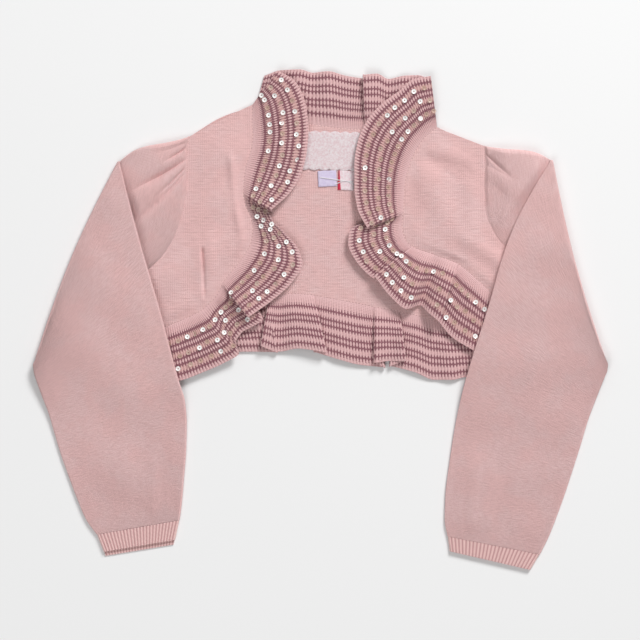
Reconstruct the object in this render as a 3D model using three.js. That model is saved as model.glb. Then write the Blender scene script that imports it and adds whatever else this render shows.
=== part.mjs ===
// Child's cropped knitted cardigan with a ruffled, striped band, laid open on a flat surface.
// Millimetres, +Z up. X runs across the chest towards the wearer's left, Y towards the neck.
// The back lies lowest, the two fronts lie on it, and each sleeve is folded back over the side.

import * as THREE from 'three';

// Cloth and seams
const CLOTH = 1.2;
const BAND_CLOTH = 1.4;
const LABEL_CLOTH = 1;
const SEAM_GAP = 0.5;
const ARMHOLE_GAP = 0.85;

// Heights of the layers: the underside of the fronts, the lowest point of a laid label
const FRONT_BASE = 1.6;
const LABEL_BASE = CLOTH + 0.3;

// Sleeves: outside depth of the flattened tube, and the radius of the fold at its long crease
const SLEEVE_DEPTH = 3;
const CREASE_RADIUS = 3.6;
const CREASE_STEPS = 4;

// Ribs of the cuffs and bands: their height and pitch, and how many a cuff has on each face
const RIB_HEIGHT = 0.4;
const RIB_PITCH = 2.6;
const CUFF_RIBS = 24;

// Ruffled bands: the lines across a band. Each has its share of the way from the seam to the
// free edge, how much of the edge's lift it has reached, and how much of a rib's height.
const BAND_LINES = [
  { across: 0, rise: 0, rib: 0 },
  { across: 0.38, rise: 0.85, rib: 1 },
  { across: 1, rise: 1, rib: 1 },
];
// Columns of a band's plain face: one for every so many of its ribbed face
const PLAIN_EVERY = 5;
const SEAM_PROBE = 0.1;

// Panels: rows and columns of their grids, the share of a panel over which its relief fades
// to its seams, its fullness, its deepest dip, and how far the hem's corner lies above the band
const FRONT_ROWS = 34;
const FRONT_COLUMNS = 9;
const ARMHOLE_COLUMNS = 12;
const NECK_COLUMNS = 26;
const BACK_ROWS = 4;
const EDGE_FADE = 0.14;
const FRONT_EASE = 0.6;
const DEEPEST_DIP = -0.2;
const HEM_CORNER = 2.5;

// Sleeve caps, as shares of the way from armhole to crease: where the puff is full, where it
// starts to sink, and where it has gone; how much a gather widens over that way
const PUFF_FULL = 0.07;
const PUFF_SINKS = 0.22;
const PUFF_GONE = 0.72;
const GATHER_SPREAD = 2;

// Rings round a sleeve: the turns of its rounded edges, and where the points of its faces lie
// from its upper edge to its lower one, closest over the gathers of the cap
const EDGE_ANGLES = [Math.PI / 4, 0, -Math.PI / 4];
const BACK_PLACES = [0, 0.1, 0.28, 0.5, 0.75, 1];
const FRONT_PLACES = [0, 0.03, 0.06, 0.095, 0.135, 0.16, 0.18, 0.215, 0.26, 0.34, 0.46, 0.62, 0.8, 1];
const CAP_STATIONS = [0, 0.05, 0.12, 0.22, 0.38, 0.6, 1];

// Steps between two rows of a table when the length of a curve is measured
const LENGTH_STEPS = 12;
const ARMHOLE_STEPS = 40;

// Knitted colours
const ROSE = 0xdbb5b3;
const ROSE_SLEEVE = 0xd8b0ae;
const BAND_ROSE = 0xb88489;
const WHITE = 0xf1ece9;
const LAVENDER = 0xcbb9d8;

const UP = new THREE.Vector3(0, 0, 1);
const ORIGIN = new THREE.Vector3();

// Turns the rows of a table into objects with named columns.
function table(columns, rows) {
  return rows.map((row) => Object.fromEntries(columns.map((name, i) => [name, row[i]])));
}

// Outlines. Each row is one turn, ridge or valley of the ruffle: where it leaves the panel
// (seam), where its free edge lies, and how far that edge stands above the seam.
// A new lobe number starts a pleat, folded back under or over the lobe before it.
const BAND_COLUMNS = ['lobe', 'seamX', 'seamY', 'freeX', 'freeY', 'lift'];

const BAND_RIGHT = table(BAND_COLUMNS, [
  [1, -54, 171, -34, 198, 3.2],
  [1, -54.5, 164.5, -20, 189, 3.4],
  [1, -54.5, 155.5, -12, 171.5, 3.6],
  [1, -54, 145, -9.5, 151.5, 3],
  [1, -55.5, 134, -11, 133, 3.2],
  [1, -59, 123, -16, 114, 3],
  [1, -61, 111, -25, 99.5, 3.8],
  [1, -61.4, 99.5, -39, 86.5, 6.4],
  [2, -60, 91, -43.5, 92, 2.2],
  [2, -55.5, 81, -38, 78, 2],
  [2, -54, 71.5, -28.5, 68.5, 2.4],
  [2, -55, 62, -17.5, 55, 3],
  [2, -59.5, 52.5, -14.5, 43, 3.6],
  [2, -66, 43.5, -23, 28.5, 3.6],
  [2, -73, 35, -39, 14, 4.6],
  [2, -77.8, 28.5, -56.5, 1.5, 8.2],
  [3, -79.8, 24, -51, 9, 4],
  [3, -82.2, 19.6, -46, -0.5, 4.2],
  [3, -85.5, 15, -63, -11.5, 2.6],
  [3, -90, 11, -67.5, -19.5, 2.4],
  [3, -95, 6.5, -65, -27.5, 3.8],
  [3, -101.5, 3, -77, -35.5, 2.8],
  [3, -109, -0.5, -94, -43, 2.2],
  [3, -119, -4.5, -110, -49, 2.4],
  [3, -130, -8.5, -126, -52.5, 1.8],
  [3, -139, -11, -137, -54, 1.6],
]);

const BAND_LEFT = table(BAND_COLUMNS, [
  [1, 93, 153, 88, 193.5, 3.2],
  [1, 89, 150, 74, 191, 3.4],
  [1, 83.5, 145, 62.5, 181.5, 3.2],
  [1, 78, 138, 49, 171.5, 3.6],
  [1, 73.5, 129, 37, 158, 3.2],
  [1, 70.5, 120.5, 29.5, 140.5, 3],
  [1, 68, 111.5, 27, 123, 3.2],
  [1, 67, 103, 27, 105, 3],
  [1, 66.5, 94, 29.5, 87.5, 3.8],
  [1, 66, 86, 37, 72.5, 6.4],
  [2, 65.5, 81, 39, 78, 2.4],
  [2, 65, 75.5, 23.5, 71, 3],
  [2, 65.5, 70, 22, 59.5, 3.4],
  [2, 67, 65, 27.5, 47, 3],
  [2, 69, 61, 38, 35, 2.6],
  [2, 71.5, 59, 48.5, 28, 2],
  [3, 74, 57, 43.5, 33, 6],
  [3, 79.5, 55, 56.5, 16.5, 4.6],
  [3, 87, 52.5, 68.5, 7.5, 6],
  [3, 94, 50, 79, 10.5, 0.8],
  [3, 101, 47.5, 86, 4.5, 5.6],
  [3, 108.5, 44.5, 93.5, -2, 8],
  [4, 112.5, 42, 90, 3.5, 3.4],
  [4, 119.5, 36.5, 105, -15, 2.6],
  [4, 129, 27.5, 121, -25, 2.8],
  [4, 140.5, 17, 135.5, -35, 2.2],
  [4, 150, 7.5, 150, -42, 2],
  [4, 157, 0.5, 160.5, -45, 1.6],
]);

const BAND_HEM = table(BAND_COLUMNS, [
  [1, -139, -11.5, -135.5, -51.5, 0.3],
  [1, -92.5, 6, -84.5, -32, 0.4],
  [1, -68.5, 13, -60.5, -26.5, 0.6],
  [1, -42.5, 18.3, -35.5, -27, 0.4],
  [2, -39.5, 19, -46.5, -22.5, 4.8],
  [2, -32, 19.6, -33, -26.5, 1.2],
  [2, -22, 20, -17.5, -24, 3.6],
  [2, -7, 19, 3.5, -27, 4.8],
  [3, -1, 18, -4, -27, 0.4],
  [3, 12.5, 15.5, 14, -32.5, 2.2],
  [3, 28.5, 12.5, 31.5, -37, 1.4],
  [3, 41, 10, 50.5, -39, 0.4],
  [4, 44.5, 9, 44, -35.5, 4.6],
  [4, 54, 7.5, 55.5, -34, 3],
  [4, 62, 6, 67, -34, 4.8],
  [5, 65, 5, 56, -38, 0.5],
  [5, 75.5, 3, 75.5, -43, 1.8],
  [5, 89, -1, 91, -49, 0.5],
  [5, 100.5, -3.5, 105, -49, 1.8],
  [5, 113, -5, 116.5, -47, 0.5],
  [5, 135.5, -4.5, 139, -47, 0.4],
  [5, 157, -1, 160, -43, 0.3],
]);

const BAND_NECK = table(BAND_COLUMNS, [
  [1, -51.5, 170, -45, 194, 0.1],
  [1, -39, 161, -31.5, 198.5, 0.2],
  [1, -23, 157, -17, 199, 2.2],
  [1, -7, 155, -6, 196.5, 0.6],
  [1, 7.5, 153, 6, 197.5, 2.4],
  [1, 21, 151.5, 20.5, 194, 1],
  [1, 34, 151, 42, 190.5, 0.5],
  [2, 36.5, 151, 35, 194.5, 4.8],
  [2, 44.5, 150, 45, 195.5, 3.4],
  [2, 54, 149, 54.5, 191.5, 0.8],
  [2, 66, 149, 67, 194, 2],
  [2, 79.5, 151, 78, 194.5, 0.2],
  [2, 91.5, 153, 86, 192, 0.1],
]);

// Outer edge of each half, from the shoulder point down the armhole and the side seam
const OUTLINE_COLUMNS = ['x', 'y'];

const ARMHOLE_RIGHT = table(OUTLINE_COLUMNS, [
  [-104.5, 145.5],
  [-106.5, 134],
  [-106.3, 112.5],
  [-109, 89],
  [-116.5, 65],
  [-130, 45],
  [-145, 33],
]);

const SIDE_RIGHT = table(OUTLINE_COLUMNS, [
  [-143.5, 15],
  [-141, 0],
]);

// Shoulder of the back between the armhole and the neck, where it bows outwards
const SHOULDER_RIGHT = table(OUTLINE_COLUMNS, [
  [-78, 161.4],
]);

const ARMHOLE_LEFT = table(OUTLINE_COLUMNS, [
  [130.5, 138],
  [131.2, 127],
  [130.8, 109],
  [132, 87],
  [139, 68.5],
  [148.5, 56.5],
  [159.5, 49],
]);

const SIDE_LEFT = table(OUTLINE_COLUMNS, [
  [159.3, 31],
  [158.5, 12],
]);

// Soft folds of the laid fronts: a line from one end to the other, its height and half width
const FOLD_COLUMNS = ['x1', 'y1', 'x2', 'y2', 'height', 'width'];

const FOLDS_RIGHT = table(FOLD_COLUMNS, [
  [-71, 124, -64.5, 74, 2.6, 5],
  [-62, 62, -68, 38, 2.6, 4],
  [-88.5, 60, -87, 22, 2, 5.5],
  [-94.3, 52, -92.8, 20, -1.6, 1.8],
  [-86, 140, -84, 95, 1.2, 12],
]);

const FOLDS_LEFT = table(FOLD_COLUMNS, [
  [112, 42, 134, 27, 2.2, 5],
  [118, 62, 142, 46, 1.2, 6],
  [92, 125, 96, 85, 1.4, 13],
  [122, 96, 118, 70, 0.9, 9],
]);

// Long sleeves. Each row after the crease is one line across the lower sleeve: its edge
// towards the body, its edge away from it, and how high the upper face lies at each edge.
const SLEEVE_COLUMNS = ['innerX', 'innerY', 'innerTop', 'outerX', 'outerY', 'outerTop'];

// A gather starts at a share of the way down the armhole, drifts, and is gone at its reach.
const GATHER_COLUMNS = ['at', 'drift', 'depth', 'width', 'reach'];

const SLEEVE_RIGHT = {
  armhole: ARMHOLE_RIGHT,
  crease: { innerX: -162, innerY: 126, outerX: -228, outerY: -32, bow: 4.5 },
  capBow: 2.2,
  puff: { height: 4.8, centre: 0.24, spread: 0.26 },
  gathers: table(GATHER_COLUMNS, [
    [0.03, 0.02, 1.2, 0.016, 0.45],
    [0.06, 0.14, 2.8, 0.012, 0.32],
    [0.135, 0.12, 4, 0.016, 0.95],
    [0.18, 0.4, 2.6, 0.012, 0.38],
    [0.215, 0.42, 2, 0.03, 0.8],
  ]),
  lower: table(SLEEVE_COLUMNS, [
    [-151.5, 89, 9, -229.5, -37, 7.2],
    [-140.5, 49, 10, -229, -42.5, 7],
    [-130, 14, 10.8, -226.5, -51, 6.2],
    [-122, -15.5, 10.8, -223, -61, 5],
    [-114, -46, 9.8, -217.5, -75.5, 3.8],
    [-108, -67, 6, -212.5, -92.5, 3.1],
    [-106.8, -84.5, 3.6, -207.5, -109, 3],
    [-107.3, -105, 3, -201, -127, 3],
    [-109, -127.5, 3, -194.5, -144.5, 3],
    [-110.8, -147.5, 3, -187, -161.5, 3],
    [-112.5, -161, 3, -179, -172.5, 3],
  ]),
  cuff: { innerX: -116, innerY: -177, outerX: -173.5, outerY: -186.5, backLonger: 3.5 },
};

const SLEEVE_LEFT = {
  armhole: ARMHOLE_LEFT,
  crease: { innerX: 185.5, innerY: 127, outerX: 228, outerY: -33, bow: -3.5 },
  capBow: 3.6,
  puff: { height: 3.4, centre: 0.3, spread: 0.3 },
  gathers: table(GATHER_COLUMNS, [
    [0.06, 0.3, 2.4, 0.012, 0.3],
    [0.135, 0.06, 1.2, 0.03, 0.6],
    [0.26, 0.16, 1, 0.05, 0.7],
  ]),
  lower: table(SLEEVE_COLUMNS, [
    [169, 102, 8.6, 229.5, -36.5, 7.2],
    [154, 73, 9.4, 229, -41.5, 7],
    [143.5, 44.5, 10.6, 226.5, -48, 6.4],
    [135, 14, 11, 223, -57, 5.4],
    [127, -11.5, 10.8, 219, -67.5, 4.4],
    [119.5, -35.5, 9.6, 214, -81, 3.6],
    [113, -59.5, 6.6, 209, -98, 3.1],
    [107, -89, 3.4, 203, -117, 3],
    [103, -115.5, 3, 197, -135.5, 3],
    [99.8, -141, 3, 190.5, -154, 3],
    [99.2, -160.5, 3, 182.5, -174.5, 3],
    [101.5, -174, 3, 175.5, -188.5, 3],
  ]),
  cuff: { innerX: 103, innerY: -186, outerX: 168, outerY: -201, backLonger: 0 },
};

// Soft lengthwise folds of the lower sleeves
const SLEEVE_FOLDS_RIGHT = table(FOLD_COLUMNS, [
  [-132, -120, -134, -166, 1.2, 5],
  [-160, -60, -158, -120, 1, 12],
  [-178, 10, -188, -60, 1.2, 16],
]);

const SLEEVE_FOLDS_LEFT = table(FOLD_COLUMNS, [
  [146, -108, 143, -174, 1.3, 5],
  [122, -120, 120, -168, 1, 5],
  [168, -10, 172, -90, 1.2, 16],
]);

// Neck label and the two tabs that hang from it: corners of each, then the edge scallops
const LABEL = { left: -17, right: 31.5, bottom: 119.4, top: 148.5, turn: -0.03, scallop: 8.5 };
const SIZE_TAB = { left: -2, right: 13, bottom: 105.5, top: 116.8, turn: 0.05 };
const CARE_TAB = { left: 14, right: 27, bottom: 102.5, top: 116.6, turn: -0.06 };
const SCALLOP_STEPS = 4;
const SCALLOP_SWELL = 0.17;

// Value of a table of numbers at row position t, smooth through every row, never overshooting.
function between(rows, t) {
  const last = rows.length - 1;
  const i = Math.min(Math.max(Math.floor(t), 0), last - 1);
  const s = Math.min(Math.max(t - i, 0), 1);
  return rows[i].map((a, k) => {
    const b = rows[i + 1][k];
    const slope = b - a;
    const before = i > 0 ? a - rows[i - 1][k] : slope;
    const after = i + 1 < last ? rows[i + 2][k] - b : slope;
    const m0 = before * slope > 0 ? (2 * before * slope) / (before + slope) : 0;
    const m1 = after * slope > 0 ? (2 * after * slope) / (after + slope) : 0;
    const start = i > 0 ? m0 : slope;
    const end = i + 1 < last ? m1 : slope;
    const s2 = s * s;
    const s3 = s2 * s;
    return (2 * s3 - 3 * s2 + 1) * a + (s3 - 2 * s2 + s) * start + (3 * s2 - 2 * s3) * b + (s3 - s2) * end;
  });
}

// Row positions that part the smooth curve through a table's rows into equal lengths. The
// count comes from the curve's whole length, and axes are the columns that hold its places.
function equalPlaces(rows, countFor, axes) {
  const lengths = [0];
  for (let k = 1; k <= (rows.length - 1) * LENGTH_STEPS; k += 1) {
    const here = between(rows, k / LENGTH_STEPS);
    const last = between(rows, (k - 1) / LENGTH_STEPS);
    lengths.push(lengths[k - 1] + Math.hypot(...axes.map((c) => here[c] - last[c])));
  }
  const total = lengths[lengths.length - 1];
  const count = countFor(total);
  let k = 1;
  return Array.from({ length: count }, (_, n) => {
    const target = (total * n) / (count - 1);
    while (k < lengths.length - 1 && lengths[k] < target) {
      k += 1;
    }
    return (k - 1 + (target - lengths[k - 1]) / (lengths[k] - lengths[k - 1])) / LENGTH_STEPS;
  });
}

// Points spread evenly by length along the smooth curve through the given places.
function evenly(rows, count) {
  return equalPlaces(rows, () => count, [0, 1]).map((t) => between(rows, t));
}

function smoothStep(value) {
  const s = Math.min(Math.max(value, 0), 1);
  return s * s * (3 - 2 * s);
}

// Height that a table of soft folds adds at a place: a rounded ridge round each line,
// falling off across it by its width and past its ends by twice that.
function foldHeight(folds, x, y) {
  return folds.reduce((sum, fold) => {
    const dx = fold.x2 - fold.x1;
    const dy = fold.y2 - fold.y1;
    const length = Math.hypot(dx, dy);
    const along = ((x - fold.x1) * dx + (y - fold.y1) * dy) / length;
    const aside = ((x - fold.x1) * dy - (y - fold.y1) * dx) / length;
    const past = Math.max(0, -along, along - length) / (2 * fold.width);
    return sum + fold.height * Math.exp(-((aside / fold.width) ** 2) - past * past);
  }, 0);
}

// Closed body from a list of points and faces. Its faces are turned outwards by its volume.
function closedBody(points, faces) {
  let volume = 0;
  for (const [a, b, c] of faces) {
    volume += points[a].dot(new THREE.Vector3().crossVectors(points[b], points[c]));
  }
  const index = faces.flatMap(([a, b, c]) => (volume > 0 ? [a, b, c] : [a, c, b]));
  const geometry = new THREE.BufferGeometry();
  geometry.setAttribute('position', new THREE.Float32BufferAttribute(points.flatMap((p) => p.toArray()), 3));
  geometry.setIndex(index);
  geometry.computeVertexNormals();
  return geometry;
}

// Wall between two grids of points of the same size, closed round its four edges.
function closedSheet(lower, upper) {
  const rows = lower.length;
  const columns = lower[0].length;
  const points = [...lower.flat(), ...upper.flat()];
  const under = (r, c) => r * columns + c;
  const over = (r, c) => rows * columns + r * columns + c;
  const faces = [];
  for (let r = 0; r + 1 < rows; r += 1) {
    for (let c = 0; c + 1 < columns; c += 1) {
      faces.push([over(r, c), over(r, c + 1), over(r + 1, c + 1)]);
      faces.push([over(r, c), over(r + 1, c + 1), over(r + 1, c)]);
      faces.push([under(r, c), under(r + 1, c + 1), under(r, c + 1)]);
      faces.push([under(r, c), under(r + 1, c), under(r + 1, c + 1)]);
    }
  }
  const rim = (a, b) => {
    faces.push([under(...a), under(...b), over(...b)]);
    faces.push([under(...a), over(...b), over(...a)]);
  };
  for (let c = 0; c + 1 < columns; c += 1) {
    rim([0, c], [0, c + 1]);
    rim([rows - 1, c + 1], [rows - 1, c]);
  }
  for (let r = 0; r + 1 < rows; r += 1) {
    rim([r + 1, 0], [r, 0]);
    rim([r, columns - 1], [r + 1, columns - 1]);
  }
  return closedBody(points, faces);
}

// Tube wall between outer and inner rings of points, open at both ends.
function closedTube(outer, inner) {
  const rings = outer.length;
  const around = outer[0].length;
  const points = [...outer.flat(), ...inner.flat()];
  const out = (r, k) => r * around + (k % around);
  const into = (r, k) => rings * around + r * around + (k % around);
  const faces = [];
  for (let k = 0; k < around; k += 1) {
    for (let r = 0; r + 1 < rings; r += 1) {
      faces.push([out(r, k), out(r, k + 1), out(r + 1, k + 1)]);
      faces.push([out(r, k), out(r + 1, k + 1), out(r + 1, k)]);
      faces.push([into(r, k), into(r + 1, k + 1), into(r, k + 1)]);
      faces.push([into(r, k), into(r + 1, k), into(r + 1, k + 1)]);
    }
    faces.push([out(0, k), into(0, k), into(0, k + 1)]);
    faces.push([out(0, k), into(0, k + 1), out(0, k + 1)]);
    faces.push([out(rings - 1, k), into(rings - 1, k + 1), into(rings - 1, k)]);
    faces.push([out(rings - 1, k), out(rings - 1, k + 1), into(rings - 1, k + 1)]);
  }
  return closedBody(points, faces);
}

// Lines of a ruffled band, one for each table row, with four more where a pleat turns back:
// the round of the first bend, the two ends of the hidden layer, and the second bend.
function bandLines(rows, seamHeight) {
  const lines = [];
  rows.forEach((row, i) => {
    const line = { values: [row.seamX, row.seamY, row.freeX, row.freeY, seamHeight + row.lift], bend: false };
    const last = rows[i - 1];
    if (last && last.lobe !== row.lobe) {
      const travelX = last.freeX - row.freeX;
      const travelY = last.freeY - row.freeY;
      const travel = Math.hypot(travelX, travelY);
      const middle = (last.lift + row.lift) / 2;
      const radius = Math.abs(last.lift - row.lift) / 4;
      const turns = [
        [last, radius, (last.lift + middle) / 2],
        [last, 0, middle],
        [row, 0, middle],
        [row, -radius, (row.lift + middle) / 2],
      ];
      turns.forEach(([from, reach, lift], k) => {
        const share = (k + 1) / (turns.length + 1);
        lines.push({
          values: [
            last.seamX + (row.seamX - last.seamX) * share,
            last.seamY + (row.seamY - last.seamY) * share,
            from.freeX + (travelX / travel) * reach,
            from.freeY + (travelY / travel) * reach,
            seamHeight + lift,
          ],
          bend: k !== 2,
        });
      });
      line.bend = true;
    }
    lines.push(line);
  });
  return lines;
}

// Ruffled band: straight lines from the seam to the free edge, half the wall on each side of
// them. The side that shows is ribbed, each rib a ridge and a furrow; the other is plain.
function bandGeometry(rows, seamHeight, side) {
  const lines = bandLines(rows, seamHeight);
  const values = lines.map((line) => line.values);
  const ribColumns = (length) => 2 * Math.round(length / RIB_PITCH) + 1;
  const places = equalPlaces(values, ribColumns, [2, 3, 4]);
  const centre = places.map((t) => bandColumn(values, t, seamHeight));
  const normals = gridNormals(centre);
  const laid = (half, k) => centre[k].map((point, c) => (
    point.clone().addScaledVector(normals[k][c], side * half(c))
  ));
  const ribbed = centre.map((_, k) => laid((c) => {
    const ridge = (k % 2) * BAND_LINES[c].rib;
    return BAND_CLOTH / 2 - RIB_HEIGHT * (1 - ridge);
  }, k));
  const inBend = (t) => lines[Math.min(Math.ceil(t), lines.length - 1)].bend;
  const kept = places.map((t, k) => k).filter((k) => (
    k % PLAIN_EVERY === 0 || k === places.length - 1 || inBend(places[k])
  ));
  return ribbedSheet(ribbed, kept.map((k) => laid(() => -BAND_CLOTH / 2, k)), kept);
}

// One line across a band, begun where it is clear of the panel by the seam's gap.
function bandColumn(values, t, seamHeight) {
  const [seamX, seamY, freeX, freeY, freeZ] = between(values, t);
  const [aheadX, aheadY] = between(values, t + SEAM_PROBE);
  const [behindX, behindY] = between(values, t - SEAM_PROBE);
  const run = Math.hypot(aheadX - behindX, aheadY - behindY);
  const area = (freeX - seamX) * (aheadY - behindY) - (freeY - seamY) * (aheadX - behindX);
  const start = (SEAM_GAP * run) / Math.abs(area);
  return BAND_LINES.map(({ across, rise }) => {
    const w = start + (1 - start) * across;
    return new THREE.Vector3(
      seamX + (freeX - seamX) * w,
      seamY + (freeY - seamY) * w,
      seamHeight + (freeZ - seamHeight) * rise,
    );
  });
}

// Unit normals of a grid of points, square to its lines along and across.
function gridNormals(grid) {
  const at = (k, count) => Math.min(Math.max(k, 0), count - 1);
  return grid.map((row, r) => row.map((_, c) => {
    const ahead = grid[at(r + 1, grid.length)][c];
    const behind = grid[at(r - 1, grid.length)][c];
    const along = new THREE.Vector3().subVectors(ahead, behind);
    const across = new THREE.Vector3().subVectors(row[at(c + 1, row.length)], row[at(c - 1, row.length)]);
    return along.cross(across).normalize();
  }));
}

// Wall between a ribbed grid and a plain one that has only the kept ones of its columns.
function ribbedSheet(ribbed, plain, kept) {
  const lines = ribbed[0].length;
  const points = [...ribbed.flat(), ...plain.flat()];
  const over = (k, c) => k * lines + c;
  const under = (k, c) => ribbed.length * lines + k * lines + c;
  const faces = [];
  const quad = (p, q, r, s) => faces.push([p, q, r], [p, r, s]);
  for (let c = 0; c + 1 < lines; c += 1) {
    for (let k = 0; k + 1 < ribbed.length; k += 1) {
      quad(over(k, c), over(k + 1, c), over(k + 1, c + 1), over(k, c + 1));
    }
    for (let k = 0; k + 1 < plain.length; k += 1) {
      quad(under(k, c), under(k, c + 1), under(k + 1, c + 1), under(k + 1, c));
    }
    quad(over(0, c), over(0, c + 1), under(0, c + 1), under(0, c));
    const last = [ribbed.length - 1, plain.length - 1];
    quad(over(last[0], c + 1), over(last[0], c), under(last[1], c), under(last[1], c + 1));
  }
  const rim = (c, turned) => {
    for (let k = 0; k + 1 < kept.length; k += 1) {
      const half = Math.ceil((kept[k] + kept[k + 1]) / 2);
      const fan = [[under(k, c), under(k + 1, c), over(half, c)]];
      for (let j = kept[k]; j < kept[k + 1]; j += 1) {
        fan.push([under(j < half ? k : k + 1, c), over(j + 1, c), over(j, c)]);
      }
      faces.push(...fan.map(([p, q, r]) => (turned ? [p, r, q] : [p, q, r])));
    }
  };
  rim(0, false);
  rim(lines - 1, true);
  return closedBody(points, faces);
}

const seamPoints = (rows) => rows.map((row) => [row.seamX, row.seamY]);
const outlinePoints = (rows) => rows.map((row) => [row.x, row.y]);

// Front: lines from the armhole and side seam to the band's seam, raised by its soft folds.
// Its shoulder, the first line, may bow outwards.
function frontGeometry(band, armhole, side, folds, shoulderBow) {
  const seam = evenly(seamPoints(band), FRONT_ROWS);
  const corner = band[band.length - 1];
  const hemEnd = [corner.seamX, corner.seamY + HEM_CORNER];
  const outer = evenly([...outlinePoints(armhole), ...outlinePoints(side), hemEnd], FRONT_ROWS);
  const lower = [];
  for (let r = 0; r < FRONT_ROWS; r += 1) {
    const row = [];
    for (let c = 0; c < FRONT_COLUMNS; c += 1) {
      const w = c / (FRONT_COLUMNS - 1);
      const x = outer[r][0] + (seam[r][0] - outer[r][0]) * w;
      const bow = shoulderBow * Math.sin(Math.PI * w) * smoothStep(1 - r / (EDGE_FADE * FRONT_ROWS));
      const y = outer[r][1] + (seam[r][1] - outer[r][1]) * w + bow;
      const inward = smoothStep(Math.min(w, 1 - w) / EDGE_FADE);
      const downward = smoothStep(Math.min(r, FRONT_ROWS - 1 - r) / (EDGE_FADE * FRONT_ROWS));
      const relief = Math.max(foldHeight(folds, x, y), DEEPEST_DIP) + FRONT_EASE;
      row.push(new THREE.Vector3(x, y, FRONT_BASE + relief * inward * downward));
    }
    lower.push(row);
  }
  return closedSheet(lower, raised(lower, CLOTH));
}

function raised(grid, height) {
  return grid.map((row) => row.map((point) => point.clone().addScaledVector(UP, height)));
}

// Back: lines from its top edge (armholes, shoulders, neck) down to its hem seam, flat.
function backGeometry() {
  const top = [
    ...evenly(outlinePoints(ARMHOLE_RIGHT), ARMHOLE_COLUMNS).reverse(),
    ...outlinePoints(SHOULDER_RIGHT),
    ...evenly(seamPoints(BAND_NECK), NECK_COLUMNS),
    ...evenly(outlinePoints(ARMHOLE_LEFT), ARMHOLE_COLUMNS),
  ];
  const hem = evenly(seamPoints(BAND_HEM), top.length);
  const lower = top.map(([topX, topY], k) => {
    const row = [];
    for (let r = 0; r < BACK_ROWS; r += 1) {
      const w = r / (BACK_ROWS - 1);
      row.push(new THREE.Vector3(topX + (hem[k][0] - topX) * w, topY + (hem[k][1] - topY) * w, 0));
    }
    return row;
  });
  return closedSheet(lower, raised(lower, CLOTH));
}

// One line across the flattened sleeve. Each point along it has a place on the back face,
// the way from there through the sleeve, and the depth of the sleeve there.
function upperStation(sleeve, u) {
  const { crease, capBow, puff, gathers } = sleeve;
  const armhole = evenly(outlinePoints(sleeve.armhole), ARMHOLE_STEPS);
  const out = creaseOutward(crease);
  return (v) => {
    const place = v * (armhole.length - 1);
    const k = Math.min(Math.floor(place), armhole.length - 2);
    const ax = armhole[k][0] + (armhole[k + 1][0] - armhole[k][0]) * (place - k);
    const ay = armhole[k][1] + (armhole[k + 1][1] - armhole[k][1]) * (place - k);
    const line = creasePoint(crease, out, v).addScaledVector(out, -CREASE_RADIUS);
    const lead = ARMHOLE_GAP * (1 - u);
    const side = Math.sign(line.x - ax);
    const bow = capBow * Math.sin(Math.PI * u) * (1 - v) ** 2;
    const point = new THREE.Vector3(
      ax + side * lead + (line.x - ax) * u,
      ay + lead * v + (line.y - ay) * u + bow,
      0,
    );
    const swell = smoothStep(u / PUFF_FULL) * smoothStep((PUFF_GONE - u) / (PUFF_GONE - PUFF_SINKS));
    const crown = puff.height * Math.exp(-(((v - puff.centre) / puff.spread) ** 2));
    const pinch = gathers.reduce((sum, gather) => {
      const aside = (v - gather.at - gather.drift * u) / (gather.width * (1 + GATHER_SPREAD * u));
      return sum + gather.depth * Math.exp(-aside * aside) * smoothStep(1 - u / gather.reach);
    }, 0);
    return { point, inward: UP, depth: SLEEVE_DEPTH + Math.max(swell * (crown - pinch), 0) };
  };
}

function creaseOutward(crease) {
  const along = new THREE.Vector3(crease.outerX - crease.innerX, crease.outerY - crease.innerY, 0);
  const out = new THREE.Vector3(along.y, -along.x, 0).normalize();
  return Math.sign(out.x) === Math.sign(crease.innerX) ? out : out.negate();
}

function creasePoint(crease, out, v) {
  return new THREE.Vector3(
    crease.innerX + (crease.outerX - crease.innerX) * v,
    crease.innerY + (crease.outerY - crease.innerY) * v,
    0,
  ).addScaledVector(out, crease.bow * Math.sin(Math.PI * v));
}

// The fold: the flat sleeve turns over, about a line parallel to the crease.
function bendStation(sleeve, angle) {
  const { crease } = sleeve;
  const out = creaseOutward(crease);
  const inward = UP.clone().multiplyScalar(Math.cos(angle)).addScaledVector(out, -Math.sin(angle));
  return (v) => ({
    point: creasePoint(crease, out, v)
      .addScaledVector(out, CREASE_RADIUS * (Math.sin(angle) - 1))
      .addScaledVector(UP, CREASE_RADIUS * (1 - Math.cos(angle))),
    inward,
    depth: SLEEVE_DEPTH,
  });
}

// Lower sleeve, lying on its front: the back face is the upper one.
function lowerStation(row, bow, out, folds) {
  return (v) => {
    const x = row.innerX + (row.outerX - row.innerX) * v;
    const y = row.innerY + (row.outerY - row.innerY) * v;
    const relief = Math.max(foldHeight(folds, x, y), 0) * smoothStep(Math.min(v, 1 - v) / EDGE_FADE);
    const top = row.innerTop + (row.outerTop - row.innerTop) * v + relief;
    const point = new THREE.Vector3(x, y, top).addScaledVector(out, bow * Math.sin(Math.PI * v));
    return { point, inward: UP.clone().negate(), depth: SLEEVE_DEPTH + relief };
  };
}

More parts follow.
